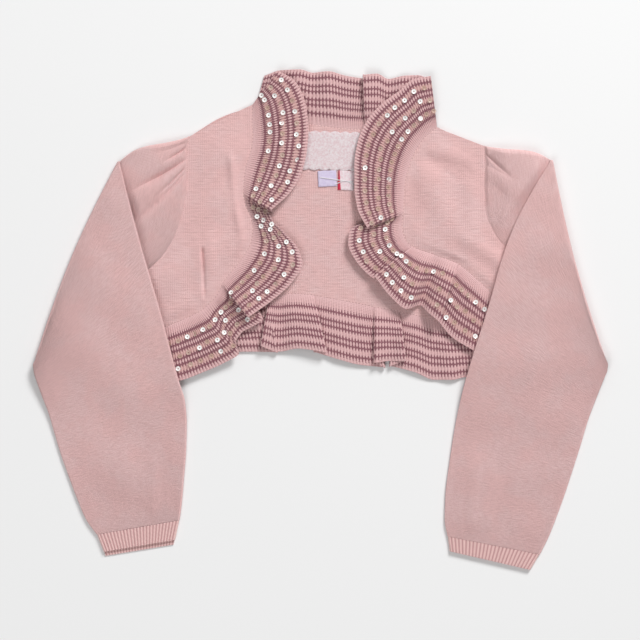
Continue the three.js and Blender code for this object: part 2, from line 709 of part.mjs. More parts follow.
// Ring round the flattened tube at one line: along the back face, round the far edge,
// along the front face and round the near edge, as deep into the cloth as asked. The faces
// may dip further at some places, and a station may say how far its front face is moved.
function tubeRing(station, backPlaces, frontPlaces, inset, dip = () => 0) {
  const first = station(0);
  const last = station(1);
  const span = new THREE.Vector3().subVectors(last.point, first.point).normalize();
  const ring = [];
  const edgePoint = (end, side, angle) => {
    const half = end.depth / 2;
    const shift = (half - inset) * Math.cos(angle) - half;
    return end.point.clone()
      .addScaledVector(span, side * shift)
      .addScaledVector(end.inward, half - (half - inset) * Math.sin(angle));
  };
  const facePoint = (v, front) => {
    const here = station(v);
    const near = first.depth / 2;
    const far = last.depth / 2;
    const shift = near * (1 - v) - far * v;
    const inside = inset + dip(v);
    const depth = front ? here.depth - inside : inside;
    const moved = front && here.frontShift ? here.frontShift : ORIGIN;
    return here.point.clone().add(moved).addScaledVector(span, shift).addScaledVector(here.inward, depth);
  };
  backPlaces.forEach((v) => ring.push(facePoint(v, false)));
  EDGE_ANGLES.forEach((angle) => ring.push(edgePoint(last, 1, angle)));
  [...frontPlaces].reverse().forEach((v) => ring.push(facePoint(v, true)));
  EDGE_ANGLES.forEach((angle) => ring.push(edgePoint(first, -1, -angle)));
  return ring;
}

function sleeveStations(sleeve, folds) {
  const out = creaseOutward(sleeve.crease);
  const stations = CAP_STATIONS.map((u) => upperStation(sleeve, u));
  for (let k = 1; k <= CREASE_STEPS; k += 1) {
    stations.push(bendStation(sleeve, (Math.PI * k) / CREASE_STEPS));
  }
  sleeve.lower.forEach((row, i) => {
    const fade = Math.max(0, 1 - (i + 1) / 3);
    stations.push(lowerStation(row, sleeve.crease.bow * fade, out, folds));
  });
  return stations;
}

function sleeveGeometry(sleeve, folds) {
  const stations = sleeveStations(sleeve, folds);
  const outer = stations.map((station) => tubeRing(station, BACK_PLACES, FRONT_PLACES, 0));
  const inner = stations.map((station) => tubeRing(station, BACK_PLACES, FRONT_PLACES, CLOTH));
  return closedTube(outer, inner);
}

// Cuff: a flattened tube from the sleeve's end, its ribs raised outside over a plain inside.
function cuffGeometry(sleeve) {
  const start = sleeve.lower[sleeve.lower.length - 1];
  const end = sleeve.cuff;
  const gap = SEAM_GAP / Math.abs(end.innerY - start.innerY);
  const columns = 2 * CUFF_RIBS;
  const places = Array.from({ length: columns + 1 }, (_, k) => k / columns);
  const furrow = (v) => (Math.round(v * columns) % 2 === 0 ? RIB_HEIGHT : 0);
  const mix = THREE.MathUtils.lerp;
  const stations = [gap, 1].map((share) => (v) => ({
    point: new THREE.Vector3(
      mix(mix(start.innerX, start.outerX, v), mix(end.innerX, end.outerX, v), share),
      mix(mix(start.innerY, start.outerY, v), mix(end.innerY, end.outerY, v), share),
      SLEEVE_DEPTH,
    ),
    inward: UP.clone().negate(),
    depth: SLEEVE_DEPTH,
    frontShift: new THREE.Vector3(0, -end.backLonger * share, 0),
  }));
  const outer = stations.map((station) => tubeRing(station, places, places, 0, furrow));
  const inner = stations.map((station) => tubeRing(station, places, places, CLOTH));
  return closedTube(outer, inner);
}

// Label outline: a rectangle, with half-round scallops along its edges where asked.
function labelGeometry(label) {
  const width = label.right - label.left;
  const height = label.top - label.bottom;
  const shape = new THREE.Shape();
  const corners = [
    [-width / 2, -height / 2],
    [width / 2, -height / 2],
    [width / 2, height / 2],
    [-width / 2, height / 2],
  ];
  corners.forEach(([x, y], i) => {
    const [nextX, nextY] = corners[(i + 1) % corners.length];
    const run = Math.hypot(nextX - x, nextY - y);
    const count = label.scallop ? Math.round(run / label.scallop) : 1;
    const steps = label.scallop ? SCALLOP_STEPS : 1;
    for (let k = 0; k < count * steps; k += 1) {
      const share = k / (count * steps);
      const arch = Math.sin((Math.PI * (k % steps)) / steps);
      const swell = label.scallop ? label.scallop * SCALLOP_SWELL * arch : 0;
      const px = x + (nextX - x) * share + ((nextY - y) / run) * swell;
      const py = y + (nextY - y) * share - ((nextX - x) / run) * swell;
      if (i === 0 && k === 0) {
        shape.moveTo(px, py);
      } else {
        shape.lineTo(px, py);
      }
    }
  });
  const geometry = new THREE.ExtrudeGeometry(shape, { depth: LABEL_CLOTH, bevelEnabled: false });
  geometry.rotateZ(label.turn);
  geometry.translate((label.left + label.right) / 2, (label.bottom + label.top) / 2, LABEL_BASE);
  return geometry;
}

const cardigan = new THREE.Group();

function addPiece(name, geometry, color, roughness) {
  const material = new THREE.MeshStandardMaterial({ color, roughness, metalness: 0 });
  const mesh = new THREE.Mesh(geometry, material);
  mesh.name = name;
  cardigan.add(mesh);
}

const BACK_BAND_HEIGHT = BAND_CLOTH / 2;
const FRONT_BAND_HEIGHT = FRONT_BASE + BAND_CLOTH / 2;

addPiece('back', backGeometry(), ROSE, 0.9);
addPiece('front_right', frontGeometry(BAND_RIGHT, ARMHOLE_RIGHT, SIDE_RIGHT, FOLDS_RIGHT, 0.8), ROSE, 0.9);
addPiece('front_left', frontGeometry(BAND_LEFT, ARMHOLE_LEFT, SIDE_LEFT, FOLDS_LEFT, -1), ROSE, 0.9);
addPiece('sleeve_right', sleeveGeometry(SLEEVE_RIGHT, SLEEVE_FOLDS_RIGHT), ROSE_SLEEVE, 0.9);
addPiece('sleeve_left', sleeveGeometry(SLEEVE_LEFT, SLEEVE_FOLDS_LEFT), ROSE_SLEEVE, 0.9);
addPiece('cuff_right', cuffGeometry(SLEEVE_RIGHT), ROSE_SLEEVE, 0.9);
addPiece('cuff_left', cuffGeometry(SLEEVE_LEFT), ROSE_SLEEVE, 0.9);
addPiece('band_neck', bandGeometry(BAND_NECK, BACK_BAND_HEIGHT, 1), BAND_ROSE, 0.85);
addPiece('band_hem', bandGeometry(BAND_HEM, BACK_BAND_HEIGHT, -1), BAND_ROSE, 0.85);
addPiece('band_front_right', bandGeometry(BAND_RIGHT, FRONT_BAND_HEIGHT, 1), BAND_ROSE, 0.85);
addPiece('band_front_left', bandGeometry(BAND_LEFT, FRONT_BAND_HEIGHT, -1), BAND_ROSE, 0.85);
addPiece('label_neck', labelGeometry(LABEL), WHITE, 0.7);
addPiece('tab_size', labelGeometry(SIZE_TAB), LAVENDER, 0.6);
addPiece('tab_care', labelGeometry(CARE_TAB), WHITE, 0.6);

// The origin is under the middle of the whole garment, on the surface that it lies on.
const bounds = new THREE.Box3().setFromObject(cardigan);
const middle = bounds.getCenter(new THREE.Vector3());
cardigan.position.set(-middle.x, -middle.y, -bounds.min.z);
cardigan.updateMatrixWorld(true);

export default cardigan;
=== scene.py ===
"""Child's cropped rose cardigan, laid open: fine jersey panels, puffed sleeves folded back,
ribbed cuffs, and a ruffled rib band with mauve stripes and rows of cup sequins."""

import bpy
import numpy as np
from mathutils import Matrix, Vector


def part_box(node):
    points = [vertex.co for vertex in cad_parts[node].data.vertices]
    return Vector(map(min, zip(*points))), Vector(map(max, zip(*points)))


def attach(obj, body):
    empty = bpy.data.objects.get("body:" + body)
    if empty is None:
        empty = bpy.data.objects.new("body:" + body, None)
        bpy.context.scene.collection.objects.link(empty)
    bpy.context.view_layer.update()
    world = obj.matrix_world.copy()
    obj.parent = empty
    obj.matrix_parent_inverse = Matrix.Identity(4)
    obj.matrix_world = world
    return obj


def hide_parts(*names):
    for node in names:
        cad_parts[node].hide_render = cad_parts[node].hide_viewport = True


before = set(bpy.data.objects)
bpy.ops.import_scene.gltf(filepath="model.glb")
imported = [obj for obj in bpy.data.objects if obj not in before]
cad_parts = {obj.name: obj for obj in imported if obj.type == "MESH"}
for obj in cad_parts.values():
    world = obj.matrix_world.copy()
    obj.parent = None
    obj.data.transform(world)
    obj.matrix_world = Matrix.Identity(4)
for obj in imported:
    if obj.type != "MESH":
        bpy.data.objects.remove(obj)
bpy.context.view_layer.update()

MM = 0.001

# Cloth, in millimetres: walls, gaps at the seams and over the floor, how high the fronts and
# labels lie, the band's width, and how much fuller its ruffles stand than their tables say
CLOTH = 1.2
BAND_CLOTH = 1.1
LABEL_CLOTH = 0.7
SEAM_GAP = 0.15
ARMHOLE_GAP = 0.25
FLOOR_GAP = 0.02
FRONT_BASE = 1.6
LABEL_BASE = 1.5
BAND_WIDTH = 46
FULLNESS = 1.25

# Fronts: lines along and across, how far in from the sides (millimetres) and the ends (share)
# their relief fades, its deepest hollow, mean rise, and the round of the edges
FRONT_LINES = (170, 86)
SIDE_FADE = 15
END_FADE = 0.14
DEEPEST = -1.2
MEAN_RISE = 1.3
EDGE_ROUND = 1.5

# Low swells of the cloth, in millimetres: distance apart and height
FRONT_SWELL = (36, 1.4)
BACK_SWELL = (60, 0.5)
HEAD_SWELL = (34, 1.1)
SLEEVE_SWELL = (62, 2.2)

# Sleeves: depth of the flattened tube, half height and bulge of its long fold, lines across
# the head, the fold and the lower part, and their points, closest together in the gathers
SLEEVE_DEPTH = 3
CREASE_RADIUS = 3.6
CREASE_REACH = 1.5
HEAD_LINES = 76
FOLD_LINES = 13
LOWER_LINES = 71
SLEEVE_SHARES = np.concatenate([np.linspace(0, 0.3, 70)[:-1], np.linspace(0.3, 0.97, 28), [0.98, 0.99, 1]])

# Cuffs: ribs round a face, height of a rib, length, and inset of the outer and inner face
CUFF_RIBS = 24
CUFF_RIB_HEIGHT = 0.5
CUFF_LENGTH = 16
CUFF_WALL = (0.25, 1.0)

# Knit: rib pitch of the band and cuffs, the height of a rib, the band's course, wale and
# course of the jersey, and the fineness of its fibres per metre
RIB_PITCH = 2.6
RIB_HEIGHT = 0.48
BAND_COURSE = 1.2
WALE = 1.5
COURSE = 1.1
FIBRES = 2600.0

# Linked seams: width, rise and stitch length of the ridge that covers the join, and its height
# on the fronts, on the back and at the armholes
SEAM_WIDTH = 1.4
ARMHOLE_SEAM_WIDTH = 2.4
SEAM_RISE = 0.22
SEAM_STITCH = 1.3
FRONT_SEAM_HEIGHT = FRONT_BASE + 0.75
BACK_SEAM_HEIGHT = 0.9
ARMHOLE_SEAM_HEIGHT = FRONT_BASE + 0.9

# Labels: left, right, bottom and top edge, turn in radians, and length of a scallop, if any
LABEL_NECK = (-17, 31.5, 119.4, 148.5, -0.03, 8.5)
TAB_SIZE = (-2, 13, 105.5, 118.2, 0.05, 0)
TAB_CARE = (14, 27, 102.5, 118, -0.06, 0)

# Loose white threads over the tabs, and the red edge of the care tab, in the knit UV
THREAD_LONG = np.array([[-0.4, 112.8], [13.2, 110.8], [26, 109.2]])
THREAD_SHORT = np.array([[11.6, 107.2], [19.6, 110], [26, 107.6]])
THREAD_WIDTH = 0.8
THREAD_RISE = 0.5
CARE_EDGE = {"place": 22.4, "lean": 0.06, "colour": (0.62, 0.03, 0.07)}

# Stripes: distance from the seam to the first stripe of each of the two families,
# the step from one pair to the next. A stripe is narrow on the ribs and reaches out between
# them: its half width on a ridge and in a furrow, on the sequined face and on the other one.
STRIPE_FIRST = 10.2
STRIPE_SECOND = 17.4
STRIPE_STEP = 11.72
STRIPE_FACE = (0.8, 2.3)
STRIPE_REVERSE = (0.6, 2.3)

# Sequins: radius of the cup and its hole, distances of their rows from the seam, ribs from one
# to the next, sides of the round, how far one strays along and across, and tilts
SEQUIN_RADIUS = 1.95
SEQUIN_HOLE = 0.35
SEQUIN_ROWS = (13.8, 25.5, 37.3)
SEQUIN_RIBS = 4
SEQUIN_SIDES = 14
SEQUIN_STRAY = (0.9, 0.5)
SEQUIN_TILT = 0.16

# Section of a cup from the hole over the rim and back below: radius, rise and brightness,
# where -1 is the shadow in the hole
CUP = np.array([
    [SEQUIN_HOLE, 0, -1],
    [0.6, 0.03, 0.9],
    [1.4, 0.16, 1],
    [SEQUIN_RADIUS, 0.45, 1],
    [SEQUIN_RADIUS, 0.6, 1],
    [1.4, 0.31, 1],
    [0.6, 0.16, 0.9],
    [SEQUIN_HOLE, 0.13, -1],
])

# Bands. Each row (lobe, seam x, seam y, free x, free y, lift) is one turn, ridge or valley of
# a ruffle: where it leaves the panel, where its free edge lies, and how far that edge stands
# above the seam. A new lobe number starts a pleat, folded under or over the lobe before it.
BAND_RIGHT = np.array([
    [1, -54, 171, -34, 198, 3.2],
    [1, -54.5, 164.5, -20, 189, 3.4],
    [1, -54.5, 155.5, -12, 171.5, 3.6],
    [1, -54, 145, -9.5, 151.5, 3],
    [1, -55.5, 134, -11, 133, 3.2],
    [1, -59, 123, -16, 114, 3],
    [1, -61, 111, -25, 99.5, 3.8],
    [1, -61.4, 99.5, -39, 86.5, 6.4],
    [2, -60, 91, -43.5, 92, 2.2],
    [2, -55.5, 81, -38, 78, 2],
    [2, -54, 71.5, -28.5, 68.5, 2.4],
    [2, -55, 62, -17.5, 55, 3],
    [2, -59.5, 52.5, -14.5, 43, 3.6],
    [2, -66, 43.5, -23, 28.5, 3.6],
    [2, -73, 35, -39, 14, 4.6],
    [2, -77.8, 28.5, -56.5, 1.5, 8.2],
    [3, -79.8, 24, -51, 9, 4],
    [3, -82.2, 19.6, -46, -0.5, 4.2],
    [3, -85.5, 15, -63, -11.5, 2.6],
    [3, -90, 11, -67.5, -19.5, 2.4],
    [3, -95, 6.5, -65, -27.5, 3.8],
    [3, -101.5, 3, -77, -35.5, 2.8],
    [3, -109, -0.5, -94, -43, 2.2],
    [3, -119, -4.5, -110, -49, 2.4],
    [3, -130, -8.5, -126, -52.5, 1.8],
    [3, -139, -11, -137, -54, 1.6],
])

BAND_LEFT = np.array([
    [1, 93, 153, 88, 193.5, 3.2],
    [1, 89, 150, 74, 191, 3.4],
    [1, 83.5, 145, 62.5, 181.5, 3.2],
    [1, 78, 138, 49, 171.5, 3.6],
    [1, 73.5, 129, 37, 158, 3.2],
    [1, 70.5, 120.5, 29.5, 140.5, 3],
    [1, 68, 111.5, 27, 123, 3.2],
    [1, 67, 103, 27, 105, 3],
    [1, 66.5, 94, 29.5, 87.5, 3.8],
    [1, 66, 86, 37, 72.5, 6.4],
    [2, 65.5, 81, 39, 78, 2.4],
    [2, 65, 75.5, 23.5, 71, 3],
    [2, 65.5, 70, 22, 59.5, 3.4],
    [2, 67, 65, 27.5, 47, 3],
    [2, 69, 61, 38, 35, 2.6],
    [2, 71.5, 59, 48.5, 28, 2],
    [3, 74, 57, 43.5, 33, 6],
    [3, 79.5, 55, 56.5, 16.5, 4.6],
    [3, 87, 52.5, 68.5, 7.5, 6],
    [3, 94, 50, 79, 10.5, 0.8],
    [3, 101, 47.5, 86, 4.5, 5.6],
    [3, 108.5, 44.5, 93.5, -2, 8],
    [4, 112.5, 42, 90, 3.5, 3.4],
    [4, 119.5, 36.5, 105, -15, 2.6],
    [4, 129, 27.5, 121, -25, 2.8],
    [4, 140.5, 17, 135.5, -35, 2.2],
    [4, 150, 7.5, 150, -42, 2],
    [4, 157, 0.5, 160.5, -45, 1.6],
])

BAND_HEM = np.array([
    [1, -139, -11.5, -135.5, -51.5, 0.3],
    [1, -92.5, 6, -84.5, -32, 0.4],
    [1, -68.5, 13, -60.5, -26.5, 0.6],
    [1, -42.5, 18.3, -35.5, -27, 0.4],
    [2, -39.5, 19, -46.5, -22.5, 4.8],
    [2, -32, 19.6, -33, -26.5, 1.2],
    [2, -22, 20, -17.5, -24, 3.6],
    [2, -7, 19, 3.5, -27, 4.8],
    [3, -1, 18, -4, -27, 0.4],
    [3, 12.5, 15.5, 14, -32.5, 2.2],
    [3, 28.5, 12.5, 31.5, -37, 1.4],
    [3, 41, 10, 50.5, -39, 0.4],
    [4, 44.5, 9, 44, -35.5, 4.6],
    [4, 54, 7.5, 55.5, -34, 3],
    [4, 62, 6, 67, -34, 4.8],
    [5, 65, 5, 56, -38, 0.5],
    [5, 75.5, 3, 75.5, -43, 1.8],
    [5, 89, -1, 91, -49, 0.5],
    [5, 100.5, -3.5, 105, -49, 1.8],
    [5, 113, -5, 116.5, -47, 0.5],
    [5, 135.5, -4.5, 139, -47, 0.4],
    [5, 157, -1, 160, -43, 0.3],
])

BAND_NECK = np.array([
    [1, -51.5, 170, -45, 194, 0.1],
    [1, -39, 161, -31.5, 198.5, 0.2],
    [1, -23, 157, -17, 199, 2.2],
    [1, -7, 155, -6, 196.5, 0.6],
    [1, 7.5, 153, 6, 197.5, 2.4],
    [1, 21, 151.5, 20.5, 194, 1],
    [1, 34, 151, 42, 190.5, 0.5],
    [2, 36.5, 151, 35, 194.5, 4.8],
    [2, 44.5, 150, 45, 195.5, 3.4],
    [2, 54, 149, 54.5, 191.5, 0.8],
    [2, 66, 149, 67, 194, 2],
    [2, 79.5, 151, 78, 194.5, 0.2],
    [2, 91.5, 153, 86, 192, 0.1],
])

# Outer edge of each half (x, y), from the shoulder point down the armhole and the side seam
ARMHOLE_RIGHT = np.array([
    [-104.5, 145.5], [-106.5, 134], [-106.3, 112.5], [-109, 89], [-116.5, 65], [-130, 45], [-145, 33],
])
SIDE_RIGHT = np.array([[-143.5, 15], [-141, 0]])
SHOULDER_RIGHT = np.array([[-104.5, 145.5], [-78, 161.4], [-51.5, 170]])
ARMHOLE_LEFT = np.array([
    [130.5, 138], [131.2, 127], [130.8, 109], [132, 87], [139, 68.5], [148.5, 56.5], [159.5, 49],
])
SIDE_LEFT = np.array([[159.3, 31], [158.5, 12]])

# Soft folds: both ends of each ridge (x, y, x, y), its height and its half width
FOLDS_RIGHT = np.array([
    [-71, 124, -64.5, 74, 2.6, 3.4],
    [-62, 62, -68, 38, 2.8, 3],
    [-88.5, 60, -87, 22, 2, 5.5],
    [-94.3, 54, -92.6, 18, -3, 1.1],
    [-98, 56, -96, 20, 1, 5],
    [-86, 140, -84, 95, 1.2, 12],
])
FOLDS_LEFT = np.array([
    [112, 42, 134, 27, 2.2, 5],
    [118, 62, 142, 46, 1.6, 6],
    [92, 125, 96, 85, 1.4, 13],
    [122, 96, 118, 70, 1.2, 9],
    [84, 128, 110, 118, -2.4, 7],
])
SLEEVE_FOLDS_RIGHT = np.array([
    [-132, -120, -134, -166, 1.2, 5],
    [-160, -60, -158, -120, 1, 12],
    [-178, 10, -188, -60, 1.2, 16],
])
SLEEVE_FOLDS_LEFT = np.array([
    [146, -108, 143, -174, -1.6, 6],
    [122, -120, 120, -168, 1, 5],
    [168, -10, 172, -90, 1.2, 16],
])

# Sleeves: ends of the long crease (x, y, x, y) and how far it bows outwards, the bow of the
# upper edge, the puffed crown (height, centre, spread, where it ends and over what run), the
# width of the hollow beside the fold, the gathers (start down the armhole, drift, depth,
# width, where it has run out), the lines across the lower sleeve (inner x, y, top; outer x,
# y, top), the cuff's free edge (x, y, x, y), and how much longer its lower face is
SLEEVE_RIGHT = {
    "armhole": ARMHOLE_RIGHT,
    "crease": (-162, 126, -228, -32),
    "bow": 4.5,
    "cap_bow": 5,
    "puff": (7.4, 0.22, 0.3, 0.86, 0.5),
    "hollow": 8,
    "gathers": np.array([
        [0.02, 0.02, 3, 0.016, 0.6],
        [0.06, 0.14, 7, 0.009, 0.34],
        [0.135, 0.14, 7.4, 0.014, 1.1],
        [0.18, 0.4, 6.5, 0.009, 0.4],
        [0.215, 0.46, 6, 0.02, 1.1],
    ]),
    "lower": np.array([
        [-151.5, 89, 9, -229.5, -37, 7.2],
        [-140.5, 49, 10, -229, -42.5, 7],
        [-130, 14, 10.8, -226.5, -51, 6.2],
        [-122, -15.5, 10.8, -223, -61, 5],
        [-114, -46, 9.8, -217.5, -75.5, 3.8],
        [-108, -67, 6, -212.5, -92.5, 3.1],
        [-106.8, -84.5, 3.6, -207.5, -109, 3],
        [-107.3, -105, 3, -201, -127, 3],
        [-109, -127.5, 3, -194.5, -144.5, 3],
        [-110.8, -147.5, 3, -187, -161.5, 3],
        [-112.5, -161, 3, -179, -172.5, 3],
    ]),
    "cuff": (-116, -177, -173.5, -186.5),
    "back_longer": 3.5,
}
SLEEVE_LEFT = {
    "armhole": ARMHOLE_LEFT,
    "crease": (185.5, 127, 228, -33),
    "bow": -3.5,
    "cap_bow": 3.6,
    "puff": (6.6, 0.16, 0.34, 0.98, 0.3),
    "hollow": 13,
    "gathers": np.array([
        [0.05, 0.3, 5.4, 0.014, 0.4],
        [0.135, 0.06, 2.8, 0.03, 0.6],
        [0.26, 0.16, 1.5, 0.05, 0.7],
    ]),
    "lower": np.array([
        [169, 102, 8.6, 229.5, -36.5, 7.2],
        [154, 73, 9.4, 229, -41.5, 7],
        [143.5, 44.5, 10.6, 226.5, -48, 6.4],
        [135, 14, 11, 223, -57, 5.4],
        [127, -11.5, 10.8, 219, -67.5, 4.4],
        [119.5, -35.5, 9.6, 214, -81, 3.6],
        [113, -59.5, 6.6, 209, -98, 3.1],
        [107, -89, 3.4, 203, -117, 3],
        [103, -115.5, 3, 197, -135.5, 3],
        [99.8, -141, 3, 190.5, -154, 3],
        [99.2, -160.5, 3, 182.5, -174.5, 3],
        [101.5, -174, 3, 175.5, -188.5, 3],
    ]),
    "cuff": (103, -186, 168, -201),
    "back_longer": 0,
}

# Place of the tables' zero in the frame, from the corner of the flat back panel
BACK_CORNER = np.array([-145.0, -10.5, 0.0])
SHIFT = np.array(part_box("back")[0]) / MM - BACK_CORNER
SHIFT[2] = 0


# Curves and grids

def between(rows, t):
    """Values of a table at row positions t: a cubic through every row, whose slope at a row
    is the harmonic mean of the slopes beside it and zero where they change sign."""
    rows = np.asarray(rows, float)
    t = np.clip(np.asarray(t, float), 0, len(rows) - 1)
    i = np.minimum(t.astype(int), len(rows) - 2)
    s = (t - i)[:, None]
    step = np.diff(rows, axis=0)
    before, after = step[:-1], step[1:]
    same = before * after > 0
    total = np.where(same, before + after, 1)
    inner = np.where(same, 2 * before * after / total, 0)
    slope = np.vstack([step[:1], inner, step[-1:]])
    a, b = rows[i], rows[i + 1]
    return ((2 * s**3 - 3 * s**2 + 1) * a + (s**3 - 2 * s**2 + s) * slope[i]
            + (3 * s**2 - 2 * s**3) * b + (s**3 - s**2) * slope[i + 1])


def lengths(points):
    """Distance along a row of points, from its first one."""
    return np.concatenate([[0], np.cumsum(np.linalg.norm(np.diff(points, axis=0), axis=1))])


def evenly(rows, count):
    """Points spread evenly by length along the smooth curve through a table's rows."""
    fine = between(rows, np.linspace(0, len(rows) - 1, 24 * len(rows)))
    along = lengths(fine)
    want = np.linspace(0, along[-1], count)
    return np.stack([np.interp(want, along, fine[:, k]) for k in range(fine.shape[1])], axis=1)


def smooth_step(value):
    """Rises from 0 to 1 with no corner at either end."""
    s = np.clip(value, 0, 1)
    return s * s * (3 - 2 * s)


def fold_height(folds, x, y):
    """Sum of rounded ridges: each falls off across its line as exp(-(d/width)^2), and past
    its ends at half that rate."""
    total = np.zeros_like(x)
    for x1, y1, x2, y2, height, width in folds:
        length = np.hypot(x2 - x1, y2 - y1)
        along = ((x - x1) * (x2 - x1) + (y - y1) * (y2 - y1)) / length
        aside = ((x - x1) * (y2 - y1) - (y - y1) * (x2 - x1)) / length
        past = np.maximum(0, np.maximum(-along, along - length)) / (2 * width)
        total = total + height * np.exp(-((aside / width) ** 2) - past**2)
    return total


def ripple(x, y, seed, size, height):
    """Low, uneven swells of cloth: a sum of five sine waves, their directions and phases
    drawn from a seeded generator, about one size apart."""
    draw = np.random.default_rng(seed)
    total = np.zeros_like(x)
    for _ in range(5):
        turn, phase, scale = draw.uniform(0, np.pi), draw.uniform(0, 2 * np.pi), draw.uniform(0.7, 1.6)
        wave = (x * np.cos(turn) + y * np.sin(turn)) * 2 * np.pi / (size * scale)
        total = total + np.sin(wave + phase)
    return total * height / 5


def normals(grid):
    """Unit normals of a grid of points: the cross product of its two tangents."""
    n = np.cross(np.gradient(grid, axis=0), np.gradient(grid, axis=1))
    return n / np.maximum(np.linalg.norm(n, axis=2, keepdims=True), 1e-9)


def cloth(name, lower, upper, lower_uv, upper_uv, around=False):
    """Closed cloth between two grids of points in millimetres. Open grids get a rim round
    their four edges; grids that run around get one at each end. UVs are in millimetres."""
    rows, columns = lower.shape[:2]
    wide = columns + 1 if around else columns
    points = np.concatenate([lower.reshape(-1, 3), upper.reshape(-1, 3)])
    uvs = np.concatenate([lower_uv.reshape(-1, 2), upper_uv.reshape(-1, 2)])
    column = np.arange(wide) % columns
    vertex = np.arange(rows)[:, None] * columns + column[None, :]
    corner = np.arange(rows)[:, None] * wide + np.arange(wide)[None, :]
    layers = []
    for ids, offset in ((vertex, rows * columns), (corner, rows * wide)):
        low, high = ids, ids + offset
        parts = [
            np.stack([high[:-1, :-1], high[1:, :-1], high[1:, 1:], high[:-1, 1:]], axis=-1),
            np.stack([low[:-1, :-1], low[:-1, 1:], low[1:, 1:], low[1:, :-1]], axis=-1),
            np.stack([low[0, :-1], high[0, :-1], high[0, 1:], low[0, 1:]], axis=-1),
            np.stack([low[-1, :-1], low[-1, 1:], high[-1, 1:], high[-1, :-1]], axis=-1),
        ]
        if not around:
            parts.append(np.stack([low[:-1, 0], low[1:, 0], high[1:, 0], high[:-1, 0]], axis=-1))
            parts.append(np.stack([low[:-1, -1], high[:-1, -1], high[1:, -1], low[1:, -1]], axis=-1))
        layers.append(np.concatenate([part.reshape(-1, 4) for part in parts]))
    return solid(name, points, layers[0], uvs[layers[1].reshape(-1)])


def raised(flat, height):
    """A grid of x and y at a height, which may vary over it."""
    return np.dstack([flat, np.broadcast_to(height, flat.shape[:2])])


def crossed(along, across):
    """A grid of pairs from the values along it and those across it."""
    return np.stack(np.broadcast_arrays(along[:, None], across[None, :]), axis=2)


def solid(name, points, quads, loop_uvs, painted_light=None):
    """Mesh of quads from arrays, its faces turned outwards by its signed volume."""
    a, b, c, d = (points[quads[:, k]] for k in range(4))
    volume = np.einsum("ij,ij->", a, np.cross(b, c)) + np.einsum("ij,ij->", a, np.cross(c, d))
    loop_uvs = loop_uvs.reshape(-1, 4, 2)
    if volume < 0:
        quads, loop_uvs = quads[:, ::-1], loop_uvs[:, ::-1]
    mesh = bpy.data.meshes.new(f"{name}_cloth")
    mesh.vertices.add(len(points))
    mesh.vertices.foreach_set("co", ((points + SHIFT) * MM).astype(np.float32).reshape(-1))
    mesh.loops.add(quads.size)
    mesh.loops.foreach_set("vertex_index", quads.astype(np.int32).reshape(-1))
    mesh.polygons.add(len(quads))
    mesh.polygons.foreach_set("loop_start", np.arange(0, quads.size, 4, dtype=np.int32))
    mesh.polygons.foreach_set("use_smooth", np.ones(len(quads), bool))
    layer = mesh.uv_layers.new(name="knit")
    layer.data.foreach_set("uv", loop_uvs.astype(np.float32).reshape(-1))
    # Per point painted light, used by the sequins: painted glints and painted hole shadows
    if painted_light is not None:
        mesh.attributes.new("painted_light", "FLOAT", "POINT").data.foreach_set("value", painted_light.astype(np.float32))
    mesh.update(calc_edges=True)
    mesh.validate()
    mesh.set_sharp_from_angle(angle=np.radians(70))
    piece = bpy.data.objects.new(mesh.name, mesh)
    bpy.context.scene.collection.objects.link(piece)
    return piece


def dressed(piece, finish, slot, *nodes):
    """Gives a piece its finish and puts it in place of CAD nodes; its slot is not used."""
    piece.data.materials.append(finish)
    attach(piece, "root")
    if nodes:
        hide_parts(*nodes)
    return piece


# Finishes

class Field:
    """A value that varies over a surface. Arithmetic on it adds Math nodes, either way round."""

    def __init__(self, finish, socket):
        self.finish = finish
        self.socket = socket

    def maths(self, operation, *values):
        return self.finish.node("ShaderNodeMath", {"operation": operation}, dict(enumerate(values)))

    def __add__(self, other):
        return self.maths("ADD", self, other)

    def __sub__(self, other):
        return self.maths("SUBTRACT", self, other)

    def __rsub__(self, other):
        return self.maths("SUBTRACT", other, self)

    def __mul__(self, other):
        return self.maths("MULTIPLY", self, other)

    def __truediv__(self, other):
        return self.maths("DIVIDE", self, other)

    def __gt__(self, other):
        return self.maths("GREATER_THAN", self, other)

    def __lt__(self, other):
        return self.maths("LESS_THAN", self, other)

    __radd__ = __add__
    __rmul__ = __mul__

    def cosine(self):
        return self.maths("COSINE", self)

    def fraction(self):
        return self.maths("FRACT", self)

    def size(self):
        return self.maths("ABSOLUTE", self)

    def ramp(self, low, high):
        """Rises smoothly from 0 at low to 1 at high."""
        return self.finish.node(
            "ShaderNodeMapRange", {"interpolation_type": "SMOOTHSTEP"},
            {"Value": self, "From Min": low, "From Max": high, "To Min": 0.0, "To Max": 1.0})


